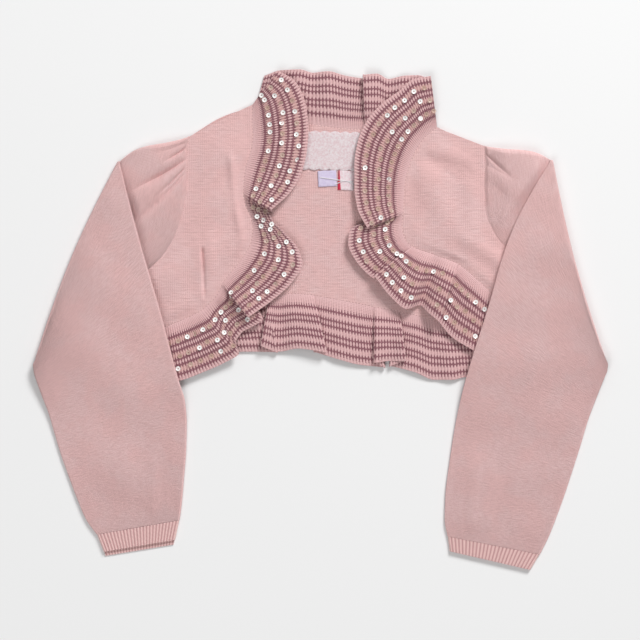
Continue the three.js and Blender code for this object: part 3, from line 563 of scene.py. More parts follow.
class Finish:
    """A material being made: constants go on the shader, everything else through node()."""

    def __init__(self, name, **constants):
        self.material = bpy.data.materials.new(name)
        self.material.use_nodes = True
        self.tree = self.material.node_tree
        self.tree.nodes.clear()
        self.shader = self.tree.nodes.new("ShaderNodeBsdfPrincipled")
        output = self.tree.nodes.new("ShaderNodeOutputMaterial")
        self.tree.links.new(self.shader.outputs[0], output.inputs["Surface"])
        for socket, value in constants.items():
            self.shader.inputs[socket.replace("_", " ")].default_value = value

    def node(self, kind, settings=None, sockets=None, output=0):
        """Adds one node: its settings first, then the values or links of its sockets."""
        made = self.tree.nodes.new(kind)
        for key, value in (settings or {}).items():
            setattr(made, key, value)
        for key, value in (sockets or {}).items():
            self.feed(made.inputs[key], value)
        return Field(self, made.outputs[output])

    def feed(self, socket, value):
        if isinstance(value, Field):
            self.tree.links.new(value.socket, socket)
        else:
            socket.default_value = value

    def mix(self, share, first, second):
        """Blends two colours by a share."""
        colours = [(*value, 1) if isinstance(value, tuple) else value for value in (first, second)]
        return self.node("ShaderNodeMix", {"data_type": "RGBA"},
                         {0: share, 6: colours[0], 7: colours[1]}, output=2)

    def across(self):
        """The knit UV in millimetres: round or along the piece, and across it."""
        uv = self.node("ShaderNodeUVMap", {"uv_map": "knit"})
        apart = self.tree.nodes.new("ShaderNodeSeparateXYZ")
        self.tree.links.new(uv.socket, apart.inputs[0])
        return Field(self, apart.outputs[0]), Field(self, apart.outputs[1])

    def noise(self, scale, detail=2.0):
        """Blotches at a scale given per metre of the object."""
        place = self.node("ShaderNodeTexCoord", output=3)
        return self.node("ShaderNodeTexNoise", sockets={"Vector": place, "Scale": scale, "Detail": detail})

    def streaks(self, long, short):
        """Blotches drawn out along the courses, their length and width in millimetres."""
        uv = self.node("ShaderNodeUVMap", {"uv_map": "knit"})
        drawn = self.node("ShaderNodeMapping", sockets={"Vector": uv, "Scale": (1 / long, 1 / short, 1)})
        return self.node("ShaderNodeTexNoise", sockets={"Vector": drawn, "Scale": 1.0, "Detail": 2.0})

    def relief(self, height, distance, strength=1.0):
        """Bump of a height field, at a distance in metres."""
        bump = self.node("ShaderNodeBump", sockets={
            "Height": height, "Distance": distance, "Strength": strength})
        self.feed(self.shader.inputs["Normal"], bump)

    def colour(self, value):
        self.feed(self.shader.inputs["Base Color"], value)


def linear(red, green, blue):
    """Screen colour, 0 to 255, as linear light."""
    values = np.array([red, green, blue]) / 255
    light = np.where(values <= 0.04045, values / 12.92, ((values + 0.055) / 1.055) ** 2.4)
    return tuple(float(v) for v in light)


ROSE = linear(232, 194, 190)
# Rose of the cuff furrows, darker as painted shade
ROSE_FURROW_SHADE = linear(194, 148, 148)
ROSE_PALE = linear(232, 198, 196)
MAUVE = linear(116, 66, 78)
MAUVE_PALE = linear(152, 102, 110)
JERSEY_COOL = linear(241, 203, 202)
JERSEY_WARM = linear(243, 198, 196)
# Darker rose of the jersey's course streaks, and painted shade in the grooves between stitches
JERSEY_STREAK_AND_SHADE = linear(226, 180, 178)
BAND_PALE = linear(222, 182, 182)
# Rose of the band furrows, darker as painted shade
BAND_FURROW_SHADE = linear(194, 148, 149)
WARM = linear(196, 150, 138)
CHAMPAGNE = linear(214, 184, 164)
# Painted white glint of the sequins that catch the light (painted highlight)
PAINTED_GLINT = linear(253, 251, 249)
HOLE_SHADE = linear(84, 56, 56)
FLOOR = linear(236, 236, 236)

# What every knit has, and each woven cloth's colour and blotches
KNIT = {"Roughness": 0.92, "Sheen_Roughness": 0.5, "Specular_IOR_Level": 0.2}
WEAVES = {
    "label_white": (linear(236, 226, 228), linear(224, 198, 202)),
    "tab_lavender": (linear(214, 202, 230), linear(222, 212, 236)),
    "tab_white": (linear(240, 228, 231), linear(234, 204, 211)),
    "thread_white": (linear(246, 242, 244), linear(238, 232, 236)),
}


def stitches(finish, u, v, wale, course):
    """Height of plain knitting: columns of V shaped stitches. Each half column rises to its
    middle, and the courses slant up to either side of it."""
    column = (u / wale).fraction() - 0.5
    slant = v / course + column.size() * 1.4
    loop = (slant * (2 * np.pi)).cosine() * 0.25 + 0.5
    groove = 1 - (column.size() * 2).ramp(0.62, 1.0) * 0.9
    return loop * groove


def jersey(name):
    """Fine matt jersey: cooler and warmer rose in blotches, streaks along its courses, painted shade in
    the grooves between stitches, and its stitches in relief."""
    finish = Finish(name, Sheen_Weight=0.25, **KNIT)
    u, v = finish.across()
    knit = stitches(finish, u, v, WALE, COURSE)
    blotch = finish.noise(45.0, 3.0)
    fibre = finish.noise(FIBRES)
    streak = finish.streaks(8.0, 1.2)
    base = finish.mix(blotch.ramp(0.38, 0.62), JERSEY_COOL, JERSEY_WARM)
    streaked = finish.mix(streak.ramp(0.35, 0.7) * 0.6, base, JERSEY_STREAK_AND_SHADE)
    # Painted shade in the grooves between stitches, darker where the knit is low
    shaded = finish.mix((1 - knit).ramp(0.3, 1.0) * 0.35, streaked, JERSEY_STREAK_AND_SHADE)
    finish.colour(finish.mix((fibre - 0.5).size() * 0.8, shaded, ROSE_PALE))
    finish.relief(knit + fibre * 0.3 + streak * 1.2, 0.0005)
    return finish.material


def rib_wave(u):
    """1 on the ridge of each rib, 0 in the furrow between two."""
    return (u * (2 * np.pi / RIB_PITCH)).cosine() * 0.5 + 0.5


def plain_rib(name):
    """Rose rib of the cuffs: painted shade in the furrows, small stitches along each rib."""
    finish = Finish(name, Sheen_Weight=0.25, **KNIT)
    u, v = finish.across()
    ridge = rib_wave(u)
    stitch = (v * (2 * np.pi / COURSE)).cosine() * 0.5 + 0.5
    fibre = finish.noise(FIBRES)
    # Painted shade: the furrows darker than the ridges
    base = finish.mix(ridge.ramp(0.0, 0.75), ROSE_FURROW_SHADE, ROSE)
    finish.colour(finish.mix((fibre - 0.5).size() * 0.5, base, ROSE_PALE))
    finish.relief(stitch * 0.6 + fibre * 0.4, 0.0003)
    return finish.material


def striped_rib(name, stripe, furrow_shade, warm):
    """Band: rose rib with mauve stripes. A stripe is narrow on the ridges and runs out into the furrows,
    so it has teeth, and where two lie close they leave ovals of rose between them; the channels of the
    sequins are a warmer rose, the furrows get painted shade, and the ribs fade out by the seam."""
    finish = Finish(name, Sheen_Weight=0.2, **KNIT)
    u, v = finish.across()
    on_ridge, in_furrow = stripe
    ridge = rib_wave(u)
    fibre = finish.noise(FIBRES)
    wobble = finish.noise(420.0) - 0.5
    place = v + wobble * 0.9
    half = in_furrow - ridge.ramp(0.0, 0.85) * (in_furrow - on_ridge) + wobble * 0.8
    near = [((place - first + STRIPE_STEP / 2) / STRIPE_STEP).fraction() * STRIPE_STEP - STRIPE_STEP / 2
            for first in (STRIPE_FIRST, STRIPE_SECOND)]
    striped = (v > STRIPE_FIRST - 3) * (v < STRIPE_SECOND + 2 * STRIPE_STEP + 3)
    bands = [1 - (here.size() - half).ramp(-0.45, 0.45) for here in near]
    dark = striped * bands[0].maths("MAXIMUM", bands[0], bands[1])
    channel = near[0].ramp(0.4, 1.2) * (1 - near[0].ramp(6.0, 6.8)) * striped
    furrow = (1 - ridge.ramp(0.05, 0.6)) * v.ramp(0.5, 5.0)
    # Painted shade in the furrows between ribs, fading out by the seam
    rose = finish.mix(furrow * furrow_shade, BAND_PALE, BAND_FURROW_SHADE)
    warmed = finish.mix(channel * warm, rose, WARM)
    mauve = finish.mix(fibre.ramp(0.4, 0.7), MAUVE, MAUVE_PALE)
    finish.colour(finish.mix(dark * 0.9, warmed, mauve))
    stitch = (v * (2 * np.pi / BAND_COURSE) + ridge * 1.5).cosine() * 0.5 + 0.5
    finish.relief(stitch * 0.5 + fibre * 0.5, 0.0004)
    return finish.material


def sequin_film(name):
    """Clear cup sequins, by the painted light each carries: 1 is a painted white glint (painted highlight)
    over clear gloss, 0 lets the knit show through dull champagne, and -1 is the painted shadow of the hole
    with its thread."""
    finish = Finish(name, Roughness=0.15, IOR=1.5, Coat_Roughness=0.05)
    painted_light = finish.node("ShaderNodeAttribute", {"attribute_name": "painted_light"}, output=2)
    bright = painted_light.ramp(0.0, 1.0)
    hole = (0.0 - painted_light).ramp(0.1, 0.9)
    # Painted white glint on the glinting sequins, and painted shadow in the holes
    finish.colour(finish.mix(hole, finish.mix(bright, CHAMPAGNE, PAINTED_GLINT), HOLE_SHADE))
    finish.feed(finish.shader.inputs["Coat Weight"], bright * 0.8)
    finish.feed(finish.shader.inputs["Roughness"], 0.4 - bright * 0.28)
    finish.feed(finish.shader.inputs["Alpha"], bright * 0.6 + hole * 0.3 + 0.36)
    return finish.material


def label_weave(name, edge=None):
    """Woven label cloth: fine over and under weave, with faint blotches, and a coloured edge
    where its place and lean are given."""
    finish = Finish(name, Roughness=0.75, Sheen_Weight=0.1, Specular_IOR_Level=0.3)
    u, v = finish.across()
    weave = ((u * 14).cosine() * (v * 14).cosine()) * 0.5 + 0.5
    blotch = finish.noise(700.0, 5.0)
    cloth_colour = finish.mix(blotch.ramp(0.3, 0.7), *WEAVES[name])
    if edge:
        inside = u + v * edge["lean"] - edge["place"]
        cloth_colour = finish.mix(inside.ramp(-0.15, 0.15), edge["colour"], cloth_colour)
    finish.colour(cloth_colour)
    finish.relief(weave, 0.00012)
    return finish.material


# Pieces

def band_lines(rows, seam_height):
    """Control lines of a band: seam x, y, free x, y, free height, and whether the stretch
    before each is part of a bend. A pleat adds four lines: the round of its first bend, the
    two ends of the hidden layer, and the round of its second bend."""
    lines, bends = [], []
    for i, row in enumerate(rows):
        last = rows[i - 1] if i else None
        turned = last is not None and last[0] != row[0]
        if turned:
            travel = (last[3:5] - row[3:5]) / np.linalg.norm(last[3:5] - row[3:5])
            middle = (last[5] + row[5]) / 2
            radius = abs(last[5] - row[5]) / 4
            turns = [
                (last[3:5] + travel * radius, (last[5] + middle) / 2),
                (last[3:5], middle),
                (row[3:5], middle),
                (row[3:5] - travel * radius, (row[5] + middle) / 2),
            ]
            for k, (free, lift) in enumerate(turns):
                seam = last[1:3] + (row[1:3] - last[1:3]) * (k + 1) / 5
                lines.append([*seam, *free, seam_height + lift * FULLNESS])
                bends.append(k != 2)
        lines.append([*row[1:5], seam_height + row[5] * FULLNESS])
        bends.append(turned)
    return np.array(lines), np.array(bends)


# How a ruffle rises, from its seam to its free edge: share across, share of its lift
RISE = np.array([[0, 0], [0.2, 0.4], [0.42, 0.8], [0.7, 0.96], [1, 1]])
RISE_LINE = between(RISE, np.linspace(0, 4, 60))


def band_surface(rows, seam_height, per_rib=7, lines_across=20):
    """Middle of a band's cloth: straight lines from the seam to the free edge, their height
    rising early, spaced by the free edge's length so that each rib has its own columns.
    Gives the grid of points and the knit UV (millimetres of rib along, across from seam)."""
    control, bends = band_lines(rows, seam_height)
    fine = np.linspace(0, len(control) - 1, 60 * len(control))
    edge = between(control, fine)
    along = lengths(edge[:, 2:5])
    count = int(round(along[-1] / RIB_PITCH)) * per_rib + 1
    t = np.interp(np.linspace(0, along[-1], count), along, fine)
    line = between(control, t)
    ribs = np.linspace(0, round(along[-1] / RIB_PITCH) * RIB_PITCH, count)
    w = np.linspace(0, 1, lines_across)
    reach = np.linalg.norm(line[:, 2:4] - line[:, 0:2], axis=1)
    start = SEAM_GAP / reach
    share = start[:, None] + (1 - start[:, None]) * w[None, :]
    flat = line[:, None, 0:2] + (line[:, None, 2:4] - line[:, None, 0:2]) * share[..., None]
    rise = np.interp(w, RISE_LINE[:, 0], RISE_LINE[:, 1])
    height = seam_height + (line[:, 4:5] - seam_height) * rise[None, :]
    grid = np.concatenate([flat, height[..., None]], axis=2)
    return grid, crossed(ribs, w * BAND_WIDTH)


def rib_relief(uv):
    """Height of the ribs over a band, from 0 in the furrows: rounded ridges that flatten
    out near the seam."""
    ridge = 0.5 + 0.5 * np.cos(2 * np.pi * uv[..., 0] / RIB_PITCH)
    return RIB_HEIGHT * ridge ** 0.8 * (0.25 + 0.75 * smooth_step((uv[..., 1] - 0.5) / 6))


def band(name, rows, seam_height, side, finish):
    """Ruffled band: cloth on both sides of its middle surface, ribbed on both faces, the
    furrows of one face behind the ridges of the other; the bound edge thins and rounds."""
    grid, uv = band_surface(rows, seam_height)
    out = normals(grid) * side
    edge = np.sqrt(1 - smooth_step((uv[..., 1] - (BAND_WIDTH - 1.2)) / 1.2) * 0.75)
    furrow = BAND_CLOTH / 2 - 0.2
    shifted = uv + np.array([RIB_PITCH / 2, 0])
    top = (furrow + rib_relief(uv)) * edge
    bottom = (furrow + rib_relief(shifted)) * edge
    lower = grid - out * bottom[..., None]
    upper = grid + out * top[..., None]
    lower[..., 2] = np.maximum(lower[..., 2], FLOOR_GAP)
    piece = cloth(name, lower, upper, shifted, uv)
    return dressed(piece, finish, "striped_rib", name)


def sequins(name, rows, seam_height, side, seed, glinting, finish):
    """Cup sequins in three rows along a band's outer face. Each is a shallow round cup with
    a hole: a profile turned round its axis, tilted a little at random, and joined by arrays."""
    grid, uv = band_surface(rows, seam_height)
    out = normals(grid) * side
    draw = np.random.default_rng(seed)
    run = uv[-1, 0, 0]
    stray, aside = SEQUIN_STRAY
    places = []
    for k, across in enumerate(SEQUIN_ROWS):
        along = np.arange(RIB_PITCH * (1 + k), run - RIB_PITCH, RIB_PITCH * SEQUIN_RIBS)
        along = along + draw.uniform(-stray, stray, len(along))
        places.append(np.stack([along, across + draw.uniform(-aside, aside, len(along))], axis=1))
    places = np.concatenate(places)
    column = np.clip(np.searchsorted(uv[:, 0, 0], places[:, 0]), 1, len(grid) - 2)
    line = np.round(places[:, 1] / BAND_WIDTH * (grid.shape[1] - 1)).astype(int)
    centre, axis = grid[column, line], out[column, line]
    shown = axis[:, 2] > 0.8
    centre, axis = centre[shown], axis[shown]
    count = len(centre)
    axis = axis + draw.normal(0, SEQUIN_TILT, (count, 3))
    axis /= np.linalg.norm(axis, axis=1, keepdims=True)
    first = np.cross(axis, np.array([0.0, 1.0, 0.0]))
    first /= np.linalg.norm(first, axis=1, keepdims=True)
    second = np.cross(axis, first)
    # A random share of the sequins gets a painted white glint (painted highlight), the rest stay dull; -1
    # in the cup's brightness column paints shadow in the hole
    glint = draw.uniform(0, 1, count) < glinting
    painted_light = np.where(glint, draw.uniform(0.9, 1, count), draw.uniform(0, 0.3, count))
    radii, rise, shade = CUP.T
    painted_lights = np.where(shade < 0, shade, painted_light[:, None] * shade)
    turn = np.linspace(0, 2 * np.pi, SEQUIN_SIDES, endpoint=False)
    lift = BAND_CLOTH / 2 + RIB_HEIGHT - 0.1
    points = (centre[:, None, None] + axis[:, None, None] * (lift + rise[None, :, None, None])
              + (first[:, None, None] * np.cos(turn)[None, None, :, None]
                 + second[:, None, None] * np.sin(turn)[None, None, :, None]) * radii[None, :, None, None])
    each = len(radii) * len(turn)
    here = np.arange(each).reshape(len(radii), len(turn))
    beyond = np.roll(here, -1, axis=0)
    quads = np.stack([here, beyond, np.roll(beyond, -1, axis=1), np.roll(here, -1, axis=1)], axis=-1)
    every = (quads.reshape(1, -1, 4) + (np.arange(count) * each)[:, None, None]).reshape(-1, 4)
    painted_lights = np.repeat(painted_lights.reshape(-1), len(turn))
    piece = solid(name, points.reshape(-1, 3), every, np.zeros((every.size, 2)), painted_lights)
    return dressed(piece, finish, "striped_rib")


def front(name, outline, seam, folds, shoulder_bow, seed, finish):
    """Front: lines from the armhole and side seam to the band's seam, the first one bowed at
    the shoulder. Its height is the base, the soft folds and low swells, all fading to the
    seams; its edges round off."""
    rows, columns = FRONT_LINES
    outer, inner = evenly(outline, rows), evenly(seam, rows)
    w = np.linspace(0, 1, columns)[None, :, None]
    flat = outer[:, None] + (inner[:, None] - outer[:, None]) * w
    by_shoulder = smooth_step(1 - np.arange(rows)[:, None] / (END_FADE * rows))
    flat[..., 1] += shoulder_bow * np.sin(np.pi * w[..., 0]) * by_shoulder
    x, y = flat[..., 0], flat[..., 1]
    in_from_side = np.minimum(w[..., 0], 1 - w[..., 0])
    in_from_end = np.minimum(np.arange(rows), rows - 1 - np.arange(rows))[:, None] / rows
    span = np.linalg.norm(outer - inner, axis=1)[:, None]
    fade = smooth_step(in_from_side * span / SIDE_FADE) * smooth_step(in_from_end / END_FADE)
    relief = np.maximum(fold_height(folds, x, y), DEEPEST) + MEAN_RISE + ripple(x, y, seed, *FRONT_SWELL)
    height = FRONT_BASE + np.maximum(relief, 0.05) * fade
    rim = np.minimum(in_from_side * span, EDGE_ROUND) / EDGE_ROUND
    upper = height + CLOTH * (0.7 + 0.3 * np.sqrt(rim * (2 - rim)))
    piece = cloth(name, raised(flat, height), raised(flat, upper), flat, flat)
    return dressed(piece, finish, "rose_knit", name)


def back(finish):
    """Back panel: lines from its top edge (armholes, shoulders, neck) to its hem seam, flat
    below, with low swells on its upper face away from the seams."""
    top = np.concatenate([
        evenly(ARMHOLE_RIGHT, 60)[::-1], evenly(SHOULDER_RIGHT, 20)[1:-1],
        evenly(BAND_NECK[:, 1:3], 110), evenly(ARMHOLE_LEFT, 60)])
    hem = evenly(BAND_HEM[:, 1:3], len(top))
    w = np.linspace(0, 1, 50)[None, :, None]
    flat = top[:, None] + (hem[:, None] - top[:, None]) * w
    in_from_end = np.minimum(w[..., 0], 1 - w[..., 0])
    swell = np.maximum(ripple(flat[..., 0], flat[..., 1], 5, *BACK_SWELL), -0.2)
    upper = CLOTH + swell * smooth_step(in_from_end / 0.1)
    piece = cloth("back", raised(flat, FLOOR_GAP), raised(flat, upper), flat, flat)
    return dressed(piece, finish, "rose_knit", "back")


def crease_frame(sleeve):
    """Both ends of a sleeve's crease, and the direction square to it, away from the body."""
    inner_x, inner_y, outer_x, outer_y = sleeve["crease"]
    along = np.array([outer_x - inner_x, outer_y - inner_y])
    away = np.array([along[1], -along[0]]) / np.linalg.norm(along)
    away = away if np.sign(away[0]) == np.sign(inner_x) else -away
    return np.array([inner_x, inner_y]), along, away


def crease_line(sleeve, v):
    """Points of a sleeve's crease at shares v: a straight line bowed out by half a sine wave."""
    start, along, away = crease_frame(sleeve)
    return start + along * v[:, None] + away * sleeve["bow"] * np.sin(np.pi * v)[:, None]


def sleeve_stations(sleeve, folds, v, seed):
    """Lines across the flattened sleeve, from armhole to cuff. Each gives the place of its
    back face, the way through the sleeve from there, and its depth. The head is ruled from
    the armhole to the crease: a bell curve high, pinched by gathers that fall off as
    exp(-|d|^1.1) and widen as they drift, and low in the hollow beside the fold. At the
    crease the sleeve turns over a half round; below it the lines fan out and lie on the
    body, then on the floor."""
    start, _, away = crease_frame(sleeve)
    armhole = evenly(sleeve["armhole"], 400)
    arm = np.stack([np.interp(v, np.linspace(0, 1, 400), armhole[:, k]) for k in (0, 1)], axis=1)
    line = crease_line(sleeve, v) - away * CREASE_REACH
    side = np.sign(away[0])
    up = np.array([0.0, 0, 1])
    fold_edge = np.vstack([start, sleeve["lower"][:, :2]])
    places, ways, depths = [], [], []
    height, centre, spread, edge_at, edge_run = sleeve["puff"]
    for u in np.linspace(0, 1, HEAD_LINES) ** 1.25:
        lead = ARMHOLE_GAP * (1 - u)
        bow = sleeve["cap_bow"] * np.sin(np.pi * u**2) * (1 - v) ** 4
        flat = arm + (line - arm) * u + np.stack([side * lead + 0 * v, lead * v + bow], axis=1)
        swell = 0.4 * smooth_step(u / 0.04) + 0.6 * smooth_step(u / 0.3)
        swell = swell * smooth_step((edge_at - u) / edge_run)
        beside = np.interp(-flat[:, 1], -fold_edge[:, 1], fold_edge[:, 0]) - flat[:, 0]
        swell = swell * smooth_step(side * beside / sleeve["hollow"])
        crown = height * np.exp(-(((v - centre) / spread) ** 2))
        pinch = np.zeros_like(v)
        for at, drift, depth, width, reach in sleeve["gathers"]:
            aside = (v - at - drift * u) / (width * (1 + 2.5 * u))
            pinch += depth * np.exp(-np.abs(aside) ** 1.1) * smooth_step(1 - u / reach)
        extra = ripple(flat[:, 0], flat[:, 1], seed, *HEAD_SWELL)
        extra = extra * smooth_step(u / 0.2) * smooth_step((0.8 - u) / 0.3)
        places.append(np.column_stack([flat, 0 * v]))
        ways.append(np.tile(up, (len(v), 1)))
        depths.append(SLEEVE_DEPTH + np.maximum(swell * (crown - pinch) + extra, 0))
    out3 = np.array([*away, 0.0])
    for angle in np.linspace(0, np.pi, FOLD_LINES)[1:]:
        base = crease_line(sleeve, v) + away * CREASE_REACH * (np.sin(angle) - 1)
        places.append(np.column_stack([base, 0 * v + CREASE_RADIUS * (1 - np.cos(angle))]))
        ways.append(np.tile(up * np.cos(angle) - out3 * np.sin(angle), (len(v), 1)))
        depths.append(np.full(len(v), float(SLEEVE_DEPTH)))
    head = crease_line(sleeve, np.array([0.0, 1.0])) - away * CREASE_REACH
    first = [*head[0], 2 * CREASE_RADIUS, *head[1], 2 * CREASE_RADIUS]
    rows = np.vstack([first, sleeve["lower"]])
    for t in np.linspace(0, len(rows) - 1, LOWER_LINES)[1:]:
        inner_x, inner_y, inner_top, outer_x, outer_y, outer_top = between(rows, np.array([t]))[0]
        flat = np.stack([inner_x + (outer_x - inner_x) * v, inner_y + (outer_y - inner_y) * v], axis=1)
        flat = flat + away * sleeve["bow"] * max(0, 1 - t / 3) * np.sin(np.pi * v)[:, None]
        swell = ripple(flat[:, 0], flat[:, 1], seed + 9, *SLEEVE_SWELL)
        soft = np.maximum(fold_height(folds, flat[:, 0], flat[:, 1]) + swell, -0.5)
        soft = soft * smooth_step(np.minimum(v, 1 - v) / 0.14) * smooth_step((len(rows) - 1 - t) / 1.2)
        top = inner_top + (outer_top - inner_top) * v + soft
        places.append(np.column_stack([flat, top]))
        ways.append(np.tile(-up, (len(v), 1)))
        depths.append(SLEEVE_DEPTH + soft)
    return np.array(places), np.array(ways), np.array(depths)


# Angles of the points round each edge of a flattened tube
EDGE_TURN = np.linspace(np.pi / 2, -np.pi / 2, 11)[1:-1]


def tube_uv(rings):
    """Knit UV of a tube in millimetres: round it, and down its length at mid width."""
    closed = np.concatenate([rings, rings[:, :1]], axis=1)
    middle = len(rings) // 2
    round_it = lengths(closed[middle])
    down = lengths(rings[:, rings.shape[1] // 4])
    return crossed(down, round_it)[..., ::-1]


def sleeve(name, shape, folds, seed, finish):
    """Sleeve: the tube of its stations, a wall one cloth thick, open at both ends."""
    stations = sleeve_stations(shape, folds, SLEEVE_SHARES, seed)
    outer = tube_rings(*stations, SLEEVE_SHARES, 0)
    inner = tube_rings(*stations, SLEEVE_SHARES, CLOTH)
    uv = tube_uv(outer)
    outer[..., 2] = np.maximum(outer[..., 2], FLOOR_GAP)
    piece = cloth(name, inner, outer, uv, uv, around=True)
    return dressed(piece, finish, "rose_knit", name)


def tube_rings(places, ways, depths, v, inset):
    """Rings round a flattened tube at every station: along the back face, round the far
    edge, back along the front face and round the near edge, as deep in the cloth as asked.
    The points of each line are spaced by v."""
    span = places[:, -1] - places[:, 0]
    span = span / np.linalg.norm(span, axis=1, keepdims=True)
    share = v[None, :, None]
    near, far = depths[:, :1, None] / 2, depths[:, -1:, None] / 2
    shift = span[:, None] * (near * (1 - share) - far * share)
    back_run = places + shift + ways * inset
    front_run = (places + shift + ways * (depths[..., None] - inset))[:, ::-1]

    def edge(end, sign, turn):
        """Half round at one end of every line, or at the other."""
        half = depths[:, end, None, None] / 2
        cosine, sine = np.cos(turn)[None, :, None], np.sin(turn)[None, :, None]
        slide = (half - inset) * cosine - half
        return (places[:, end, None] + span[:, None] * sign * slide
                + ways[:, end, None] * (half - (half - inset) * sine))

    return np.concatenate([back_run, edge(-1, 1, EDGE_TURN), front_run, edge(0, -1, -EDGE_TURN)], axis=1)


def cuff(name, shape, finish):
    """Cuff: a flattened ribbed tube from the sleeve's end to its bound edge. The ribs are a
    cosine round the ring, raised outwards; the lower face may run a little longer."""
    v = np.linspace(0, 1, CUFF_RIBS * 7 + 1)
    start = shape["lower"][-1]
    inner_x, inner_y, outer_x, outer_y = shape["cuff"]
    steps = np.linspace(0.01, 1, 14)
    ends = np.array([[start[0], start[1]], [start[3], start[4]]])
    goal = np.array([[inner_x, inner_y], [outer_x, outer_y]])
    line = ends[None] + (goal - ends)[None] * steps[:, None, None]
    flat = line[:, None, 0] + (line[:, None, 1] - line[:, None, 0]) * v[None, :, None]
    places = raised(flat, SLEEVE_DEPTH)
    ways = np.zeros_like(places)
    ways[..., 2] = -1
    depths = np.full(flat.shape[:2], float(SLEEVE_DEPTH))
    outer, inner = (tube_rings(places, ways, depths, v, inset) for inset in CUFF_WALL)
    count = len(v)
    phase = np.concatenate([v, np.full(len(EDGE_TURN), 1.0), v[::-1], np.full(len(EDGE_TURN), 0.0)])
    on_face = np.concatenate([np.ones(count), 0 * EDGE_TURN, np.ones(count), 0 * EDGE_TURN])
    under = np.concatenate([0 * v, 0 * EDGE_TURN, np.ones(count), 0 * EDGE_TURN])
    wave = (0.5 + 0.5 * np.cos(2 * np.pi * CUFF_RIBS * phase)) * on_face * CUFF_RIB_HEIGHT
    finish_edge = 1 - smooth_step((steps - 0.92) / 0.08) * 0.5
    outer[..., 2] += (wave * (1 - 2 * under))[None, :] * finish_edge[:, None]
    for ring in (outer, inner):
        ring[..., 1] -= under[None, :] * shape["back_longer"] * steps[:, None]
    outer[..., 2] = np.maximum(outer[..., 2], FLOOR_GAP)
    round_it = np.concatenate([phase * CUFF_RIBS * RIB_PITCH, [0.0]])
    uv = crossed(steps * CUFF_LENGTH, round_it)[..., ::-1]
    piece = cloth(name, inner, outer, uv, uv, around=True)
    return dressed(piece, finish, "rose_rib", name)


def label(name, place, finish, slot):
    """Flat label: its outline shrunk to its middle in even steps, an upper face crowned at
    the edge. The outline is a rectangle whose edges swell in half rounds where asked."""
    left, right, bottom, top, turn, scallop = place
    width, height = right - left, top - bottom
    corners = np.array([[-1, -1], [1, -1], [1, 1], [-1, 1], [-1, -1]]) * np.array([width, height]) / 2
    outline = []
    for k in range(4):
        run = np.linalg.norm(corners[k + 1] - corners[k])
        s = np.linspace(0, 1, 60, endpoint=False)
        count = max(1, round(run / scallop)) if scallop else 1
        swell = scallop * 0.17 * np.abs(np.sin(np.pi * count * s)) if scallop else 0 * s
        way = (corners[k + 1] - corners[k]) / run
        side = np.array([way[1], -way[0]])
        outline.append(corners[k] + (corners[k + 1] - corners[k]) * s[:, None] + side * swell[:, None])
    outline = np.concatenate(outline)
    turned = outline @ np.array([[np.cos(turn), np.sin(turn)], [-np.sin(turn), np.cos(turn)]])
    shrink = np.array([1, 0.985, 0.95, 0.8, 0.6, 0.4, 0.2, 0.02])
    flat = turned[None] * shrink[:, None, None] + np.array([(left + right) / 2, (bottom + top) / 2])
    upper = LABEL_BASE + np.array([0.35, 0.75, 1, 1, 1, 1, 1, 1])[:, None] * LABEL_CLOTH
    uv = np.concatenate([flat, flat[:, :1]], axis=1)
    piece = cloth(name, raised(flat, LABEL_BASE), raised(flat, upper), uv, uv, around=True)
    return dressed(piece, finish, slot, name)


def seam(name, path, height, width, rise, finish):
    """Linked seam or thread: a low rounded ridge along a path, its section a flattened half
    round, pulled in by each stitch. Its UV is the distance along it, and -1 to 1 across."""
    places = evenly(path, int(round(lengths(path)[-1] / SEAM_STITCH)) * 4 + 1)
    run = lengths(places)
    way = np.gradient(places, axis=0)
    side = np.stack([way[:, 1], -way[:, 0]], axis=1) / np.linalg.norm(way, axis=1)[:, None]
    across = np.linspace(-1, 1, 7)
    pull = 0.5 + 0.5 * np.cos(2 * np.pi * run / SEAM_STITCH)
    flat = places[:, None] + side[:, None] * across[None, :, None] * (width / 2)
    crown = np.sqrt(np.clip(1 - across**2, 0, 1))[None, :] * (rise * (0.6 + 0.4 * pull))[:, None]
    uv = crossed(run, across)
    piece = cloth(name, raised(flat, height), raised(flat, height + 0.12 + crown), uv, uv)
    return dressed(piece, finish, "rose_knit")


knit = jersey("rose_jersey")
rib = plain_rib("rose_rib")
striped = striped_rib("striped_rib", STRIPE_FACE, 0.7, 0.35)
striped_reverse = striped_rib("striped_rib_reverse", STRIPE_REVERSE, 0.5, 0)
film = sequin_film("sequin_film")

BACK_BAND_HEIGHT = BAND_CLOTH / 2 + 0.2
FRONT_BAND_HEIGHT = FRONT_BASE + BAND_CLOTH / 2 + 0.1

back_piece = back(knit)
right_outline = np.vstack([ARMHOLE_RIGHT, SIDE_RIGHT, BAND_RIGHT[-1, 1:3] + (0, 2.5)])
left_outline = np.vstack([ARMHOLE_LEFT, SIDE_LEFT, BAND_LEFT[-1, 1:3] + (0, 2.5)])
front_right = front("front_right", right_outline, BAND_RIGHT[:, 1:3], FOLDS_RIGHT, 0.8, 11, knit)
front_left = front("front_left", left_outline, BAND_LEFT[:, 1:3], FOLDS_LEFT, -1, 12, knit)
sleeve_right = sleeve("sleeve_right", SLEEVE_RIGHT, SLEEVE_FOLDS_RIGHT, 21, knit)
sleeve_left = sleeve("sleeve_left", SLEEVE_LEFT, SLEEVE_FOLDS_LEFT, 22, knit)
cuff_right = cuff("cuff_right", SLEEVE_RIGHT, rib)
cuff_left = cuff("cuff_left", SLEEVE_LEFT, rib)
band_neck = band("band_neck", BAND_NECK, BACK_BAND_HEIGHT, 1, striped_reverse)
band_hem = band("band_hem", BAND_HEM, BACK_BAND_HEIGHT, -1, striped_reverse)
band_front_right = band("band_front_right", BAND_RIGHT, FRONT_BAND_HEIGHT, 1, striped)
